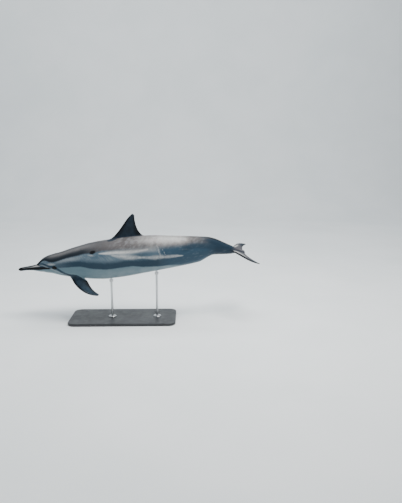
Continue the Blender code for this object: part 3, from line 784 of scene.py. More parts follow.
def end_faces(across, rings):
    last = (rings - 1) * across
    return [tuple(range(across)), tuple(range(last, last + across))]


def quarter_turn(steps):
    """Cosines and sines of the steps of a quarter turn, without its start."""
    angles = [math.pi / 2 * k / steps for k in range(1, steps + 1)]
    return [(math.cos(a), math.sin(a)) for a in angles]


def face_outward(mesh):
    build = bmesh.new()
    build.from_mesh(mesh)
    unused = [v for v in build.verts if not v.link_faces]
    bmesh.ops.delete(build, geom=unused, context="VERTS")
    bmesh.ops.recalc_face_normals(build, faces=build.faces)
    if build.calc_volume(signed=True) < 0:
        bmesh.ops.reverse_faces(build, faces=build.faces)
    build.to_mesh(mesh)
    build.free()
    mesh.shade_smooth()


# ---------------------------------------------------------------- lines of the markings
CAPE_LINE = (
    # station, turn of the cape's lower edge
    (0.0, 0.24), (0.06, 0.215), (0.085, 0.15), (0.1, 0.115), (0.125, 0.108), (0.138, 0.15),
    (0.15, 0.172), (0.17, 0.171), (0.2, 0.159), (0.24, 0.155), (0.268, 0.155), (0.3, 0.147),
    (0.337, 0.153), (0.371, 0.146), (0.436, 0.155), (0.48, 0.164), (0.56, 0.17), (0.62, 0.166),
    (0.71, 0.16), (0.735, 0.15), (0.765, 0.128), (0.8, 0.14), (0.835, 0.16), (0.88, 0.2), (0.93, 0.24),
    (1.0, 0.26),
)
BELLY_LINE = (
    # station, turn of the white belly's upper edge
    (0.0, 0.5), (0.05, 0.5), (0.061, 0.41), (0.074, 0.345), (0.09, 0.29), (0.12, 0.266), (0.155, 0.262),
    (0.194, 0.257), (0.244, 0.258), (0.276, 0.262), (0.307, 0.276), (0.342, 0.295), (0.403, 0.304),
    (0.458, 0.302), (0.495, 0.301), (0.52, 0.312), (0.55, 0.329), (0.583, 0.345), (0.61, 0.355),
    (0.65, 0.366), (0.68, 0.388), (0.72, 0.425), (0.76, 0.428), (0.8, 0.408), (0.832, 0.425),
    (0.865, 0.48), (1.0, 0.5),
)
BAND_LINE = (
    # station, turn of the middle of the dark band low on the flank, half its width in turns
    (0.16, 0.235, 0.03), (0.2, 0.228, 0.035), (0.23, 0.233, 0.035), (0.27, 0.243, 0.035),
    (0.31, 0.257, 0.035), (0.35, 0.271, 0.035), (0.39, 0.283, 0.035), (0.43, 0.287, 0.035),
    (0.47, 0.282, 0.035), (0.53, 0.29, 0.035), (0.58, 0.305, 0.036), (0.65, 0.31, 0.04),
    (0.72, 0.275, 0.09), (0.8, 0.23, 0.13), (1.0, 0.2, 0.16),
)
# Trails over both sides: station, turn and half width in millimetres of each point.
TRAILS = {
    "stripe": (
        (0.096, 0.12, 3.0), (0.112, 0.158, 5.0), (0.136, 0.2, 6.0), (0.158, 0.226, 8.0),
        (0.168, 0.24, 10.0), (0.184, 0.284, 10.0), (0.2, 0.333, 13.0), (0.216, 0.375, 19.0),
        (0.232, 0.4, 24.0),
    ),
    "pale_line": (
        (0.097, 0.15, 2.0), (0.112, 0.19, 3.0), (0.128, 0.221, 4.0), (0.15, 0.256, 5.0),
        (0.176, 0.316, 6.0), (0.212, 0.388, 5.0),
    ),
    "wedge": (
        (0.04, 0.25, 8.0), (0.07, 0.25, 11.5), (0.09, 0.249, 13.0), (0.11, 0.2425, 10.5),
        (0.122, 0.241, 8.0), (0.135, 0.242, 5.0), (0.15, 0.243, 2.0),
    ),
    "beak_light": (
        (0.018, 0.14, 1.5), (0.044, 0.15, 2.5), (0.064, 0.145, 4.0), (0.078, 0.13, 6.5),
        (0.088, 0.155, 8.0), (0.096, 0.185, 5.0),
    ),
    "axilla": (
        (0.247, 0.322, 13.0), (0.264, 0.347, 16.0), (0.281, 0.374, 20.0), (0.294, 0.395, 24.0),
        (0.306, 0.42, 26.0),
    ),
    "upper_streak": (
        (0.366, 0.165, 2.5), (0.385, 0.168, 6.0), (0.41, 0.17, 11.0), (0.448, 0.173, 13.0),
        (0.485, 0.18, 12.0), (0.52, 0.181, 8.0), (0.57, 0.176, 6.0),
    ),
    "lower_streak": (
        (0.42, 0.192, 4.0), (0.44, 0.202, 9.0), (0.465, 0.212, 15.0), (0.49, 0.222, 15.0),
        (0.515, 0.229, 12.0), (0.545, 0.236, 6.0), (0.575, 0.245, 8.0), (0.605, 0.25, 14.0),
        (0.632, 0.253, 13.0), (0.655, 0.258, 10.0), (0.68, 0.26, 9.0), (0.698, 0.264, 6.0),
        (0.716, 0.27, 3.0),
    ),
}
# Scratches, on the left side only, in the same numbers.
SCRATCHES = (
    ((0.608, 0.140, 2.0), (0.614, 0.165, 5.0), (0.617, 0.205, 6.0), (0.622, 0.238, 5.0)),
    ((0.631, 0.180, 1.5), (0.636, 0.205, 3.5), (0.642, 0.236, 4.0)),
    (
        (0.655, 0.254, 2.0), (0.672, 0.2545, 5.5), (0.69, 0.256, 5.0), (0.706, 0.262, 3.0),
        (0.722, 0.264, 1.0),
    ),
)
# Each spot: station and turn, half length and half height in millimetres, and its slant.
SCAR = ((0.3375, 0.1440), (23.0, 15.0), 0.15)
SCUFF = ((0.331, 0.174), (24.0, 6.0), -0.25)
SHADES = (((0.542, 0.213), (62.0, 13.0), 0.08), ((0.552, 0.138), (34.0, 26.0), 0.5))
# The spot of painted highlight over the eye:
BROW_HIGHLIGHT = ((0.1535, 0.196), (33.0, 8.0), -0.10)


def trail(points, route, hands=(1, -1)):
    """Distance from a trail over the skin, counted in half widths."""
    result = np.full(len(points), FAR_WIDTHS)
    route = np.array(route)
    for hand in hands:
        turns = route[:, 1] if hand > 0 else 1 - route[:, 1]
        knots = np.array([body_points(s, [w])[0] for s, w in zip(route[:, 0], turns)])
        for a, b, wide_a, wide_b in zip(knots, knots[1:], route[:, 2], route[1:, 2]):
            along = b - a
            s = np.clip((points - a) @ along / (along @ along), 0, 1)
            gap = np.linalg.norm(points - a - s[:, None] * along, axis=1) * 1000
            result = np.minimum(result, gap / (wide_a + (wide_b - wide_a) * s))
    return result


def oval(points, place, half, slant=0.0, hand=1):
    """Distance from a spot of one side, counted in its half sizes along and up the body."""
    if hand < 0:
        place = (place[0], 1 - place[1])
    spot, normal, aft, up = surface_spot(*place)
    away = (points - spot) * 1000
    along, rise = away @ aft, away @ up
    tilted = along * math.cos(slant) + rise * math.sin(slant)
    across = rise * math.cos(slant) - along * math.sin(slant)
    far = np.hypot(np.hypot(tilted / half[0], across / half[1]), away @ normal / 60)
    return np.minimum(far, FAR_WIDTHS)


def build_skin(material):
    points, quads, caps, values = Skin().build()
    station, turn = values["station"], values["turn"]
    band = smooth_columns(BAND_LINE, np.clip(station, 0.16, 1.0), 0.02)
    values["cape"] = line_at(CAPE_LINE, station) - turn
    values["belly"] = turn - line_at(BELLY_LINE, station, 0.012)
    values["band"] = (turn - band[:, 0]) / band[:, 1]
    for name, route in TRAILS.items():
        values[name] = trail(points, route)
    values["scratch"] = np.min([trail(points, route, (1,)) for route in SCRATCHES], axis=0)
    values["scar"] = oval(points, *SCAR)
    values["scuff"] = oval(points, *SCUFF)
    values["shade"] = np.min([oval(points, *spot) for spot in SHADES], axis=0)
    values["brow"] = np.minimum(oval(points, *BROW_HIGHLIGHT), oval(points, *BROW_HIGHLIGHT, hand=-1))
    mesh = new_mesh("skin", points, [tuple(q) for q in quads.tolist()] + [tuple(c) for c in caps])
    for name, data in values.items():
        add_values(mesh, name, data)
    face_outward(mesh)
    return new_object("skin", mesh, material)


# ---------------------------------------------------------------- node building
class Nodes:
    """Short ways to wire a procedural material."""

    def __init__(self, name):
        self.material = bpy.data.materials.new(name)
        self.material.use_nodes = True
        self.tree = self.material.node_tree
        self.shader = self.tree.nodes["Principled BSDF"]
        self.coords = None

    def put(self, socket, value):
        if isinstance(value, bpy.types.NodeSocket):
            self.tree.links.new(value, socket)
        else:
            socket.default_value = value

    def node(self, kind, inputs=None, **settings):
        made = self.tree.nodes.new(kind)
        for key, value in settings.items():
            setattr(made, key, value)
        for key, value in (inputs or {}).items():
            self.put(made.inputs[key], value)
        return made

    def value(self, name):
        return self.node("ShaderNodeAttribute", attribute_name=name).outputs["Fac"]

    def math(self, operation, a, b=0.0, c=0.0):
        made = self.node("ShaderNodeMath", operation=operation)
        for socket, value in zip(made.inputs, (a, b, c)):
            self.put(socket, value)
        return made.outputs[0]

    def plus(self, a, b):
        return self.math("ADD", a, b)

    def off(self, x, middle):
        """How far x is from a middle, either way."""
        return self.math("ABSOLUTE", self.math("SUBTRACT", x, middle))

    def length(self, a, b):
        squares = [self.math("MULTIPLY", x, x) for x in (a, b)]
        return self.math("SQRT", self.plus(*squares))

    def ramp(self, x, low, high, start=0.0, end=1.0):
        """start below low, end above high, and a smooth change between them."""
        made = self.node("ShaderNodeMapRange", interpolation_type="SMOOTHSTEP")
        for socket, value in zip(made.inputs, (x, low, high, start, end)):
            self.put(socket, value)
        return made.outputs[0]

    def mix(self, share, a, b, blend="MIX"):
        made = self.node("ShaderNodeMix", data_type="RGBA", blend_type=blend)
        self.put(made.inputs[0], share)
        self.put(made.inputs[6], a)
        self.put(made.inputs[7], b)
        return made.outputs[2]

    def place(self):
        if self.coords is None:
            self.coords = self.node("ShaderNodeTexCoord").outputs["Object"]
        return self.coords

    def noise(self, scale, detail=4.0, rough=0.5, grain=None):
        """Noise; grain is how many times longer its marks are than wide, and their climb in radians."""
        spot = self.place()
        if grain:
            inputs = {"Vector": spot, "Scale": (grain[0], 1.0, 1.0), "Rotation": (0.0, -grain[1], 0.0)}
            spot = self.node("ShaderNodeMapping", inputs, vector_type="TEXTURE").outputs[0]
        made = self.node(
            "ShaderNodeTexNoise", {"Vector": spot, "Scale": scale, "Detail": detail, "Roughness": rough}
        )
        return made.outputs["Fac"]

    def bump(self, height, strength, distance, below=None):
        inputs = {"Height": height, "Strength": strength, "Distance": distance}
        if below is not None:
            inputs["Normal"] = below
        return self.node("ShaderNodeBump", inputs).outputs[0]

    def finish(self, colour, rough, normal=None, specular=0.5, coat=0.0, coat_roughness=0.03):
        """Wires the shader and hands the material over."""
        inputs = {"Base Color": colour, "Roughness": rough, "Specular IOR Level": specular}
        inputs |= {"Coat Weight": coat, "Coat Roughness": coat_roughness}
        if normal is not None:
            inputs["Normal"] = normal
        for key, value in inputs.items():
            self.put(self.shader.inputs[key], value)
        return self.material


def srgb(r, g, b):
    """Linear colour of an 8-bit screen colour."""
    channels = [c / 255 for c in (r, g, b)]
    linear = [c / 12.92 if c <= 0.04045 else ((c + 0.055) / 1.055) ** 2.4 for c in channels]
    return (*linear, 1.0)


CAPE = srgb(52, 53, 57)
CAPE_WARM = srgb(84, 80, 80)
CAPE_LIT = srgb(172, 169, 167)
CAPE_EDGE = srgb(15, 25, 33)
FLANK = srgb(92, 108, 119)
FLANK_DIM = srgb(62, 82, 96)
FLANK_PALE = srgb(146, 151, 154)
# pale streaks, and the colour of the painted sheen on the back and the flukes
STREAK_AND_SHEEN = srgb(190, 190, 188)
BAND = srgb(31, 52, 67)
REAR = srgb(42, 65, 82)
# the pale belly, darkened and tinted blue by painted shade
BELLY_SHADED = srgb(128, 143, 150)
BELLY_DUSK = srgb(86, 110, 120)
STOCK = srgb(32, 49, 63)
FIN = srgb(10, 14, 20)
FIN_SOFT = srgb(30, 42, 54)
FLIPPER_SOFT = srgb(46, 65, 80)
# colour of the painted reflection on the flippers
FIN_REFLECTION = srgb(104, 112, 118)
# the flukes' dark skin in painted sunlight
FLUKE_SUNLIT = srgb(72, 71, 76)
BLACK = srgb(6, 8, 11)


def skin_material():
    n = Nodes("dolphin_skin")
    ramp, value = n.ramp, n.value
    station, turn = value("station"), value("turn")

    def wobble(noise, size):
        return n.math("MULTIPLY", n.math("SUBTRACT", noise, 0.5), size)

    def ragged_by(x, noise, size):
        return n.plus(x, wobble(noise, size))

    def both(first, *others):
        for other in others:
            first = n.math("MULTIPLY", first, other)
        return first

    def laid(ground, colour, *shares):
        """A colour over the ground, by the product of its shares."""
        return n.mix(both(*shares), ground, colour)

    wander, ragged = n.noise(9.0, 3.0), n.noise(85.0, 5.0, 0.65)
    mottle = n.noise(30.0, 6.0, 0.65)
    brushed = n.noise(70.0, 5.0, 0.65, grain=(7.0, 0.10))
    rising = n.noise(48.0, 5.0, 0.55, grain=(10.0, 0.95))
    falling = n.noise(95.0, 5.0, 0.6, grain=(12.0, -0.80))
    shift = n.plus(wobble(wander, 0.018), wobble(ragged, 0.014))
    along = n.plus(station, ragged_by(shift, brushed, 0.05))

    def mark(name, hard=0.35, soft=1.0, depth=1.0, noise=ragged):
        """Share of a marking, from its distance in half widths, with a ragged edge."""
        return ramp(ragged_by(value(name), noise, soft), 1.0 + hard, 1.0 - hard, 0.0, depth)

    # the cape: dark slate, warmer and paler aft, with painted sunlight on the crown and the rear back and a
    # painted sheen on the rear back
    cape_edge = n.plus(value("cape"), shift)
    high = ragged_by(turn, mottle, 0.03)
    # paler and warmer aft: partly the cape's own warmer tone, partly painted sunlight on the back
    cape = n.mix(ramp(along, 0.28, 0.48), CAPE, CAPE_WARM)
    # painted highlight where the light falls on the crown
    crown = both(ramp(high, 0.125, 0.060), ramp(station, 0.125, 0.165), ramp(along, 0.38, 0.29))
    crown = both(crown, ramp(turn, 0.015, 0.055))
    cape = laid(cape, CAPE_LIT, crown, 0.18)
    # painted sunlight on the rear back
    rump = both(ramp(along, 0.48, 0.65), ramp(high, 0.180, 0.085), ramp(along, 0.765, 0.700))
    cape = laid(cape, CAPE_LIT, rump)
    # painted sheen on the rear back
    painted_sheen = both(ramp(along, 0.59, 0.66), ramp(high, 0.120, 0.060), ramp(along, 0.75, 0.70))
    cape = laid(cape, STREAK_AND_SHEEN, painted_sheen, 0.65)
    cape = laid(cape, CAPE, ramp(mottle, 0.35, 0.75, 0.0, 0.25))
    hatch = ramp(along, 0.38, 0.50)
    cape = laid(cape, FLANK_PALE, ramp(rising, 0.42, 0.68), hatch, 0.28)
    cape = laid(cape, CAPE, ramp(rising, 0.52, 0.30), hatch, ramp(along, 0.70, 0.60), 0.26)
    cape = laid(cape, FLANK, ramp(falling, 0.45, 0.75), 0.15)
    rim = ragged_by(cape_edge, brushed, 0.03)
    edging = both(ramp(rim, 0.080, 0.020), ramp(station, 0.350, 0.285), 0.92)
    cape = laid(cape, CAPE_EDGE, edging)
    cape = laid(cape, CAPE_EDGE, ramp(station, 0.140, 0.085, 0.0, 0.85))
    cape = laid(cape, STOCK, ramp(along, 0.77, 0.84))
    ridge = both(ramp(turn, 0.075, 0.025), ramp(n.off(along, 0.40), 0.10, 0.20))
    cape = laid(cape, FIN, ridge, ramp(station, 0.78, 0.86, 0.35, 0.95))

    # the flank: blue-grey with paler brushed streaks and painted sunlight high in the middle, dark towards
    # the tail and over the belly, where the dark band is partly marking and partly painted shade
    flank = n.mix(ramp(mottle, 0.3, 0.7, 0.0, 0.45), FLANK, FLANK_DIM)
    flank = laid(flank, FLANK_DIM, ramp(station, 0.190, 0.165, 0.0, 0.50))
    low = both(ramp(turn, 0.185, 0.215), ramp(along, 0.48, 0.54), ramp(along, 0.64, 0.56))
    flank = laid(flank, FLANK_DIM, low, 0.65)
    under = ramp(n.off(cape_edge, -0.026), 0.042, 0.008)
    under = both(under, ramp(station, 0.33, 0.24), ramp(station, 0.165, 0.200))
    flank = laid(flank, FLANK_PALE, under, 0.36)
    behind_eye = both(ramp(station, 0.24, 0.33), ramp(station, 0.43, 0.38), ramp(turn, 0.225, 0.19))
    flank = laid(flank, FLANK_DIM, behind_eye, 0.75)
    flank = laid(flank, FLANK_PALE, ramp(falling, 0.46, 0.68), ramp(station, 0.52, 0.44), 0.22)
    # painted sunlight high on the flank over the middle of the body
    upper = both(ramp(along, 0.44, 0.54), ramp(high, 0.220, 0.170))
    flank = laid(flank, CAPE_LIT, upper, 0.40)
    flank = laid(flank, FLANK_PALE, ramp(rising, 0.45, 0.72), ramp(station, 0.42, 0.50), 0.25)
    flank = laid(flank, FLANK_DIM, mark("shade", 0.8, 1.4, 0.65, mottle))
    flank = laid(flank, REAR, ramp(along, 0.575, 0.645), ramp(high, 0.13, 0.20, 0.75, 0.95))
    ledge = both(ramp(n.off(cape_edge, -0.030), 0.060, 0.020), ramp(station, 0.69, 0.74))
    flank = laid(flank, STOCK, ledge, ramp(station, 0.87, 0.82), 0.75)
    flank = laid(flank, STOCK, ramp(station, 0.81, 0.87))
    flank = laid(flank, CAPE_EDGE, ramp(station, 0.81, 0.85), ramp(turn, 0.36, 0.42))
    flank = laid(flank, FLANK_PALE, ramp(brushed, 0.52, 0.72, 0.0, 0.12))
    # the dark band low on the flank: partly the animal's marking, partly painted shade where the flank turns
    # from the light
    uneven = n.plus(wobble(wander, 0.5), wobble(falling, 0.9))
    band = n.plus(value("band"), uneven)
    band = both(ramp(band, -1.75, -0.55), ramp(band, 1.75, 0.65), ramp(station, 0.17, 0.26, 0.60, 0.95))
    flank = laid(flank, BAND, band, ramp(station, 0.66, 0.60))
    feather = n.math("MULTIPLY", n.plus(brushed, rising), 0.5)
    hatched = ramp(rising, 0.35, 0.60, 0.62, 1.0)
    flank = laid(flank, STREAK_AND_SHEEN, mark("upper_streak", 1.0, 3.6, 0.95, feather), hatched)
    broken = both(ramp(mottle, 0.30, 0.55, 0.35, 1.0), ramp(station, 0.50, 0.60, 0.75, 0.65))
    flank = laid(flank, STREAK_AND_SHEEN, mark("lower_streak", 1.0, 3.8, 1.0, feather), broken, hatched)
    blur = n.math("DIVIDE", cape_edge, ramp(station, 0.37, 0.50, 0.012, 0.032))
    body = n.mix(ramp(blur, -1.0, 1.0), flank, cape)
    body = laid(body, CAPE, mark("shade", 0.9, 1.4, 0.25, mottle))
    # painted sunlight on the tail's top between the flukes
    middle = both(ramp(station, 0.930, 0.955), ramp(turn, 0.26, 0.20))
    body = laid(body, FLUKE_SUNLIT, middle)

    # the belly: pale skin darkened to blue-grey by painted shade, duskier in front, under the band and
    # towards the tail
    belly_edge = n.plus(value("belly"), n.math("MULTIPLY", shift, 0.75))
    belly = n.mix(ramp(n.noise(14.0, 5.0), 0.40, 0.75, 0.0, 0.4), BELLY_SHADED, BELLY_DUSK)
    belly = laid(belly, BELLY_DUSK, ramp(mottle, 0.50, 0.75, 0.0, 0.25))
    front = both(ramp(along, 0.40, 0.26), ramp(along, 0.14, 0.20, 0.30, 1.0))
    belly = laid(belly, BELLY_DUSK, front, 0.75)
    belly = laid(belly, BELLY_DUSK, ramp(turn, 0.385, 0.285), 0.60)
    belly = laid(belly, FLANK_DIM, ramp(station, 0.66, 0.72, 0.0, 0.62))
    belly = laid(belly, STOCK, ramp(station, 0.69, 0.74), ramp(turn, 0.41, 0.45), 0.5)
    belly = laid(belly, CAPE_EDGE, ramp(station, 0.810, 0.85))
    softness = ramp(station, 0.63, 0.70, 0.007, 0.030)
    body = n.mix(ramp(n.math("DIVIDE", belly_edge, softness), -1.0, 1.0), body, belly)

    # face: stripes from the crease through the eye to the flipper, dark lips and a black tip, painted
    # highlights over the eyes and along the beak's top, and painted shade in the crease and in the blowhole
    body = laid(body, BAND, mark("stripe", 0.45, 0.7, 0.94))
    body = laid(body, FLANK_PALE, mark("pale_line", 0.7, 0.9, 0.60))
    # painted highlight over each eye
    body = laid(body, FLANK_PALE, mark("brow", 0.6, 0.9, 0.85))
    body = laid(body, BAND, mark("wedge", 1.2, 0.6, 0.70))
    body = laid(body, BLACK, mark("wedge", 0.3, 0.6, 0.94))
    # painted highlight along the beak's top, strongest at its base
    light = ramp(station, 0.050, 0.074, 0.25, 0.65)
    body = laid(body, CAPE_LIT, mark("beak_light", 0.5, 0.8), light)
    lip = ragged_by(value("lip_mm"), ragged, 3.0)
    lips = both(ramp(lip, 6.5, 3.5), ramp(station, 0.152, 0.138))
    tip = ramp(ragged_by(station, ragged, 0.012), 0.030, 0.012)
    body = laid(body, BLACK, n.math("MAXIMUM", lips, tip))
    mouth = both(ramp(value("lip_mm"), 1.5, 0.5), ramp(station, 0.147, 0.140))
    body = laid(body, srgb(2, 2, 3), mouth)
    eye = ragged_by(value("eye_mm"), ragged, 5.0)
    body = laid(body, BLACK, ramp(eye, 14.0, 7.0))
    # painted shade in the crease between the melon and the beak
    body = laid(body, BLACK, ramp(value("crease_mm"), 5.0, 0.5, 0.0, 0.75))
    # painted shade in the blowhole's slit
    body = laid(body, srgb(3, 3, 4), ramp(value("blow_mm"), 2.2, 0.6))

    # wounds: a healed round bite with a pale scuff under it, and pale scratches
    body = laid(body, FLANK_PALE, mark("scuff", 0.6, 1.6, 0.60))
    body = laid(body, BLACK, mark("scar", 0.30, 0.5))
    body = laid(body, FLANK_PALE, mark("scratch", 0.7, 2.0, 0.62))

    # fins: near black, softer in the middle, with a painted reflection paler behind the flippers' front edge
    # towards the tip; the flukes' upper faces in painted sunlight, with a painted sheen near their roots
    chord, span = value("chord"), value("span")
    inner = both(ramp(chord, 0.04, 0.30), ramp(chord, 0.92, 0.65))
    on_flipper = ramp(value("flipper_mm"), 30.0, -10.0)
    soft = n.mix(on_flipper, FIN_SOFT, FLIPPER_SOFT)
    fins = n.mix(both(inner, ramp(mottle, 0.25, 0.70, 0.35, 0.9)), FIN, soft)
    # painted reflection, paler behind the flippers' front edge towards the tip
    painted_reflection = both(ramp(chord, 0.06, 0.14), ramp(chord, 0.34, 0.16), ramp(span, 0.55, 0.75, 0.0, 0.7))
    painted_reflection = both(painted_reflection, ramp(brushed, 0.38, 0.60), on_flipper)
    fins = laid(fins, FIN_REFLECTION, painted_reflection)
    # painted sunlight on the flukes' upper faces, and a painted sheen near their roots
    upper = both(ramp(value("face"), 0.2, 0.9), ramp(value("fluke_mm"), 30.0, -10.0))
    inward = n.plus(chord, ramp(span, 0.45, 0.15, 0.0, 0.12))
    upper = both(upper, ramp(inward, 0.14, 0.30), ramp(span, 0.78, 0.48))
    fins = laid(fins, FLUKE_SUNLIT, upper, ramp(mottle, 0.3, 0.7, 0.95, 0.70))
    sheen = both(upper, ramp(inward, 0.48, 0.32), ramp(span, 0.62, 0.30), 0.7)
    fins = laid(fins, STREAK_AND_SHEEN, sheen)
    reach = ramp(station, 0.415, 0.450, 13.0, -13.0)
    dorsal = n.math("SUBTRACT", ragged_by(value("dorsal_mm"), ragged, 4.0), reach)
    flipper = ramp(ragged_by(value("flipper_mm"), mottle, 26.0), 16.0, 9.0)
    flipper = both(flipper, ramp(ragged_by(value("axilla"), ragged, 0.5), 0.90, 1.20))
    flukes = ramp(ragged_by(value("fluke_mm"), ragged, 16.0), 12.0, -6.0)
    share = n.math("MAXIMUM", n.math("MAXIMUM", ramp(dorsal, 2.0, -2.0), flipper), flukes)
    colour = n.mix(share, body, fins)

    rough = ramp(n.noise(40.0, 5.0), 0.3, 0.7, 0.42, 0.56)
    normal = n.bump(n.noise(32.0, 4.0, 0.5), 0.14, 0.004)
    normal = n.bump(n.noise(240.0, 3.0, 0.5, grain=(4.0, 0.1)), 0.10, 0.0010, normal)
    normal = n.bump(n.noise(900.0, 2.0), 0.06, 0.0004, normal)
    return n.finish(colour, rough, normal, specular=0.16, coat=0.02, coat_roughness=0.20)


# ---------------------------------------------------------------- eyeballs
CORNEA_BULGE, CORNEA_ANGLE, EYE_INSET = 0.035, 0.42, 0.012


def build_eye(name, hand, material):
    """An eyeball with a cornea that bulges a little, and its own flat coordinates."""
    centre, facing, aft, up = eye_place(hand)
    rings, spokes = 40, 64
    points, uv = [], []
    for k in range(1, rings):
        polar = math.pi * k / rings
        radius = EYE_RADIUS * (1 + CORNEA_BULGE * math.exp(-((polar / CORNEA_ANGLE) ** 2)) - EYE_INSET)
        for m in range(spokes):
            a = 2 * math.pi * m / spokes
            flat = aft * math.cos(a) + up * math.sin(a)
            points.append(centre + radius * (facing * math.cos(polar) + flat * math.sin(polar)))
            uv.append((polar * math.cos(a), polar * math.sin(a)))
    front, back, last = len(points), len(points) + 1, len(points) - spokes
    points.append(centre + EYE_RADIUS * (1 + CORNEA_BULGE - EYE_INSET) * facing)
    points.append(centre - EYE_RADIUS * (1 - EYE_INSET) * facing)
    uv += [(0, 0), (math.pi, 0)]
    faces = ring_faces(spokes, rings - 1)
    for m in range(spokes):
        after = (m + 1) % spokes
        faces += [(front, after, m), (back, last + m, last + after)]
    mesh = new_mesh(name, points, faces)
    add_values(mesh, "eye_aft", [p[0] for p in uv])
    add_values(mesh, "eye_up", [p[1] for p in uv])
    face_outward(mesh)
    return new_object(name, mesh, material)


def eye_material():
    n = Nodes("dolphin_eye")
    aft, up = n.value("eye_aft"), n.value("eye_up")
    radius = n.length(aft, up)
    pupil = n.length(n.math("MULTIPLY", aft, 0.62), up)
    iris = n.mix(n.ramp(n.noise(700.0, 3.0), 0.35, 0.65), srgb(7, 6, 6), srgb(16, 12, 10))
    white = n.mix(n.ramp(n.noise(300.0, 4.0), 0.4, 0.7), srgb(8, 8, 9), srgb(18, 17, 17))
    colour = n.mix(n.ramp(radius, 0.50, 0.56), iris, white)
    colour = n.mix(n.ramp(n.off(radius, 0.53), 0.05, 0.01), colour, srgb(6, 5, 5))
    colour = n.mix(n.ramp(pupil, 0.20, 0.17), colour, srgb(2, 2, 3))
    rough = n.ramp(n.noise(500.0, 2.0), 0.3, 0.7, 0.10, 0.16)
    return n.finish(colour, rough, specular=0.20, coat=0.22, coat_roughness=0.03)


# ---------------------------------------------------------------- stand
def paint_material():
    n = Nodes("stand_paint_satin")
    colour = n.mix(n.ramp(n.noise(6.0, 5.0), 0.3, 0.7), srgb(34, 36, 39), srgb(44, 46, 50))
    rough = n.ramp(n.noise(24.0, 4.0), 0.3, 0.7, 0.36, 0.48)
    return n.finish(colour, rough, n.bump(n.noise(420.0, 3.0), 0.12, 0.0006))


def steel_material():
    n = Nodes("stand_steel_brushed")
    grain = n.noise(900.0, 3.0, 0.6, grain=(50.0, math.pi / 2))
    colour = n.mix(n.ramp(grain, 0.3, 0.7), srgb(176, 178, 180), srgb(205, 206, 207))
    n.shader.inputs["Metallic"].default_value = 1.0
    return n.finish(colour, n.ramp(grain, 0.25, 0.75, 0.24, 0.36), n.bump(grain, 0.10, 0.0004))


def lathe(name, centre, profile, material, sides=64, closed=False):
    """A solid of revolution about an upright line, from (radius, height) pairs."""
    turns = [2 * math.pi * m / sides for m in range(sides)]
    points = [
        (centre[0] + radius * math.cos(a), centre[1] + radius * math.sin(a), height)
        for radius, height in profile
        for a in turns
    ]
    faces = ring_faces(sides, len(profile), closed)
    if not closed:
        faces += end_faces(sides, len(profile))
    return hard_edged(name, points, faces, 35, material)


def hard_edged(name, points, faces, degrees, material):
    """A smooth piece whose edges stay sharp where the surface turns by more than this."""
    mesh = new_mesh(name, points, faces)
    face_outward(mesh)
    mesh.set_sharp_from_angle(angle=math.radians(degrees))
    return new_object(name, mesh, material)


def build_base(material):
    """The board: round corners and an eased upper edge."""
    low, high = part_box("stand_base")
    half_x, half_y = (high[0] - low[0]) / 2, (high[1] - low[1]) / 2
    centre = ((high[0] + low[0]) / 2, (high[1] + low[1]) / 2)
    corner, edge, steps = 0.06, 0.004, 16
    profile = [(0.0, low[2]), (0.0, high[2] - edge)]
    profile += [(edge * (1 - c), high[2] - edge * (1 - s)) for c, s in quarter_turn(6)]
    profile.append((0.03, high[2]))
    outline = []
    for quarter, (sx, sy) in enumerate(((1, 1), (-1, 1), (-1, -1), (1, -1))):
        for k in range(steps + 1):
            a = math.pi / 2 * (quarter + k / steps)
            outline.append((sx * (half_x - corner), sy * (half_y - corner), math.cos(a), math.sin(a)))
    points = []
    for inset, height in profile:
        reach = corner - inset
        points += [
            (centre[0] + cx + reach * ux, centre[1] + cy + reach * uy, height) for cx, cy, ux, uy in outline
        ]
    faces = ring_faces(len(outline), len(profile)) + end_faces(len(outline), len(profile))
    return hard_edged("stand_base_board", points, faces, 50, material)


EASE = 0.0012  # how far the edges of flanges and collars are broken
ROD_REACH = 0.002  # how far a rod runs on past the solid's top, inside the skin
# A screw's head with its recess: radius and height over its seat.
SCREW = ((0.0035, 0.0), (0.0035, 0.0020), (0.0030, 0.0026), (0.0016, 0.0026), (0.0015, 0.0012))


def build_support(place, steel):
    """One rod with its flange, collar and screws; all replace the CAD nodes of that place."""
    low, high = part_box(f"stand_rod_{place}")
    centre = ((low[0] + high[0]) / 2, (low[1] + high[1]) / 2)
    radius = (high[0] - low[0]) / 2
    rod = lathe(f"rod_{place}", centre, [(radius, low[2]), (radius, high[2] + ROD_REACH)], steel)
    low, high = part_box(f"stand_flange_{place}")
    reach, thick = (high[0] - low[0]) / 2, high[2] - low[2]
    rim = [(radius, low[2]), (reach, low[2]), (reach, low[2] + thick * 0.45)]
    slope = [(reach - EASE, low[2] + thick * 0.62), (radius + 0.006, high[2] - 0.0008)]
    neck = [(radius + 0.003, high[2]), (radius, high[2])]
    flange = lathe(f"flange_{place}", centre, rim + slope + neck, steel, closed=True)
    seat = low[2] + thick * 0.50
    low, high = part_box(f"stand_collar_{place}")
    outer = (high[0] - low[0]) / 2
    under = [(radius, low[2]), (outer - EASE, low[2]), (outer, low[2] + EASE)]
    over = [(outer, high[2] - EASE), (outer - EASE, high[2]), (radius, high[2])]
    collar = lathe(f"collar_{place}", centre, under + over, steel, closed=True)
    screws = []
    for k in range(3):
        a = 2 * math.pi * (k / 3 + 0.08)
        r = (reach + radius) / 2 + 0.003
        spot = (centre[0] + r * math.cos(a), centre[1] + r * math.sin(a))
        profile = [(wide, seat + rise) for wide, rise in SCREW]
        screws.append(lathe(f"screw_{place}_{k}", spot, profile, steel, sides=32))
    return rod, flange, collar, screws


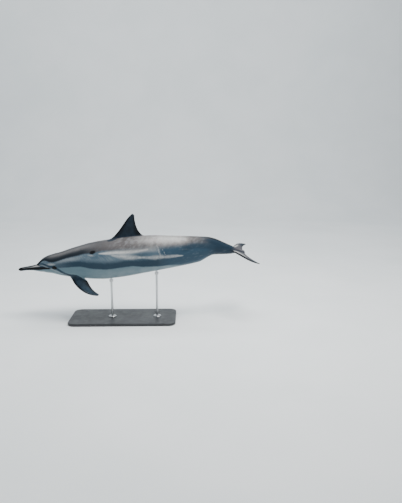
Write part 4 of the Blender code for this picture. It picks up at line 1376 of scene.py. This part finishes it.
# ---------------------------------------------------------------- camera, light and floor
SENSOR_MM, LENS_MM = 36.0, 39.5
CAMERA_PLACE, CAMERA_VIEW = (0.5364, -4.3689, 1.4556), (0.0227, 0.9795, -0.2003)
LIGHTS = {
    # place, target, size in metres, power and colour
    "key": ((1.5, -1.0, 4.2), (0.25, 0, 0.5), (2.2, 1.6), 260, (1.0, 0.985, 0.96)),
    "top": ((-0.2, 0.5, 4.2), (0.05, 0, 0.5), (3.6, 1.6), 90, (0.97, 0.99, 1.0)),
    "side": ((-3.2, -3.4, 1.7), (-0.3, 0, 0.5), (1.8, 1.8), 12, (0.97, 0.99, 1.0)),
    "wall": ((0.0, 3.2, 6.0), (0.0, 7.2, 1.2), (12.0, 1.5), 420, (0.98, 0.99, 1.0)),
}
SKY_COLOUR, SKY_STRENGTH = (0.80, 0.90, 1.0, 1.0), 0.36


def aim(thing, forward):
    thing.rotation_mode = "QUATERNION"
    thing.rotation_quaternion = Vector(forward).to_track_quat("-Z", "Y")


def add_camera():
    data = bpy.data.cameras.new("camera")
    data.sensor_width = SENSOR_MM
    data.lens = LENS_MM
    made = bpy.data.objects.new("camera", data)
    bpy.context.scene.collection.objects.link(made)
    made.location = CAMERA_PLACE
    aim(made, CAMERA_VIEW)
    bpy.context.scene.camera = made


def add_light(name, location, target, size, power, colour):
    data = bpy.data.lights.new(name, "AREA")
    data.shape = "RECTANGLE"
    data.size, data.size_y = size
    data.energy = power
    data.color = colour
    made = bpy.data.objects.new(name, data)
    bpy.context.scene.collection.objects.link(made)
    made.location = location
    aim(made, Vector(target) - Vector(location))


def add_floor():
    """A floor that runs far forward and bends up into a wall behind."""
    n = Nodes("floor_plaster")
    colour = n.mix(n.ramp(n.noise(1.2, 5.0), 0.3, 0.7), srgb(226, 231, 232), srgb(232, 236, 237))
    rough = n.ramp(n.noise(5.0, 4.0), 0.3, 0.7, 0.75, 0.9)
    plaster = n.finish(colour, rough, n.bump(n.noise(300.0, 3.0), 0.05, 0.0005))
    bend_at, wall_height, depth, half_width = 5.5, 5.0, 2.5, 14.0
    profile = [(-9.0, 0.0), (bend_at, 0.0)]
    profile += [(bend_at + depth * s, depth * (1 - c)) for c, s in quarter_turn(24)]
    profile.append((bend_at + depth, wall_height + depth))
    points = [(x, y, z) for y, z in profile for x in (-half_width, half_width)]
    faces = [(k, k + 1, k + 3, k + 2) for k in range(0, 2 * len(profile) - 2, 2)]
    mesh = new_mesh("studio_floor", points, faces)
    mesh.shade_smooth()
    floor = new_object("studio_floor", mesh, plaster)


def light_world():
    world = bpy.data.worlds.new("studio")
    world.use_nodes = True
    background = world.node_tree.nodes["Background"]
    background.inputs["Color"].default_value = SKY_COLOUR
    background.inputs["Strength"].default_value = SKY_STRENGTH
    bpy.context.scene.world = world


# ---------------------------------------------------------------- everything
FLESH = (
    "upper_jaw", "lower_jaw", "head", "chest", "back", "belly_end", "tail_stock", "fluke_centre",
    "dorsal_fin", "flipper_left", "flipper_right", "fluke_left", "fluke_right",
)


def main():
    skin = build_skin(skin_material())
    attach(skin, "root")
    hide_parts(*FLESH)
    wet = eye_material()
    for side, hand in (("left", 1), ("right", -1)):
        ball = build_eye(f"eyeball_{side}", hand, wet)
        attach(ball, "root")
        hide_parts(f"eye_{side}")
    base = build_base(paint_material())
    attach(base, "root")
    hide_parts("stand_base")
    steel = steel_material()
    for place in ("front", "rear"):
        rod, flange, collar, screws = build_support(place, steel)
        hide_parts(f"stand_rod_{place}")
        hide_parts(f"stand_flange_{place}")
        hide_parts(f"stand_collar_{place}")
        for piece in (rod, flange, collar, *screws):
            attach(piece, "root")
    add_camera()
    for name, settings in LIGHTS.items():
        add_light(name, *settings)
    add_floor()
    light_world()


main()
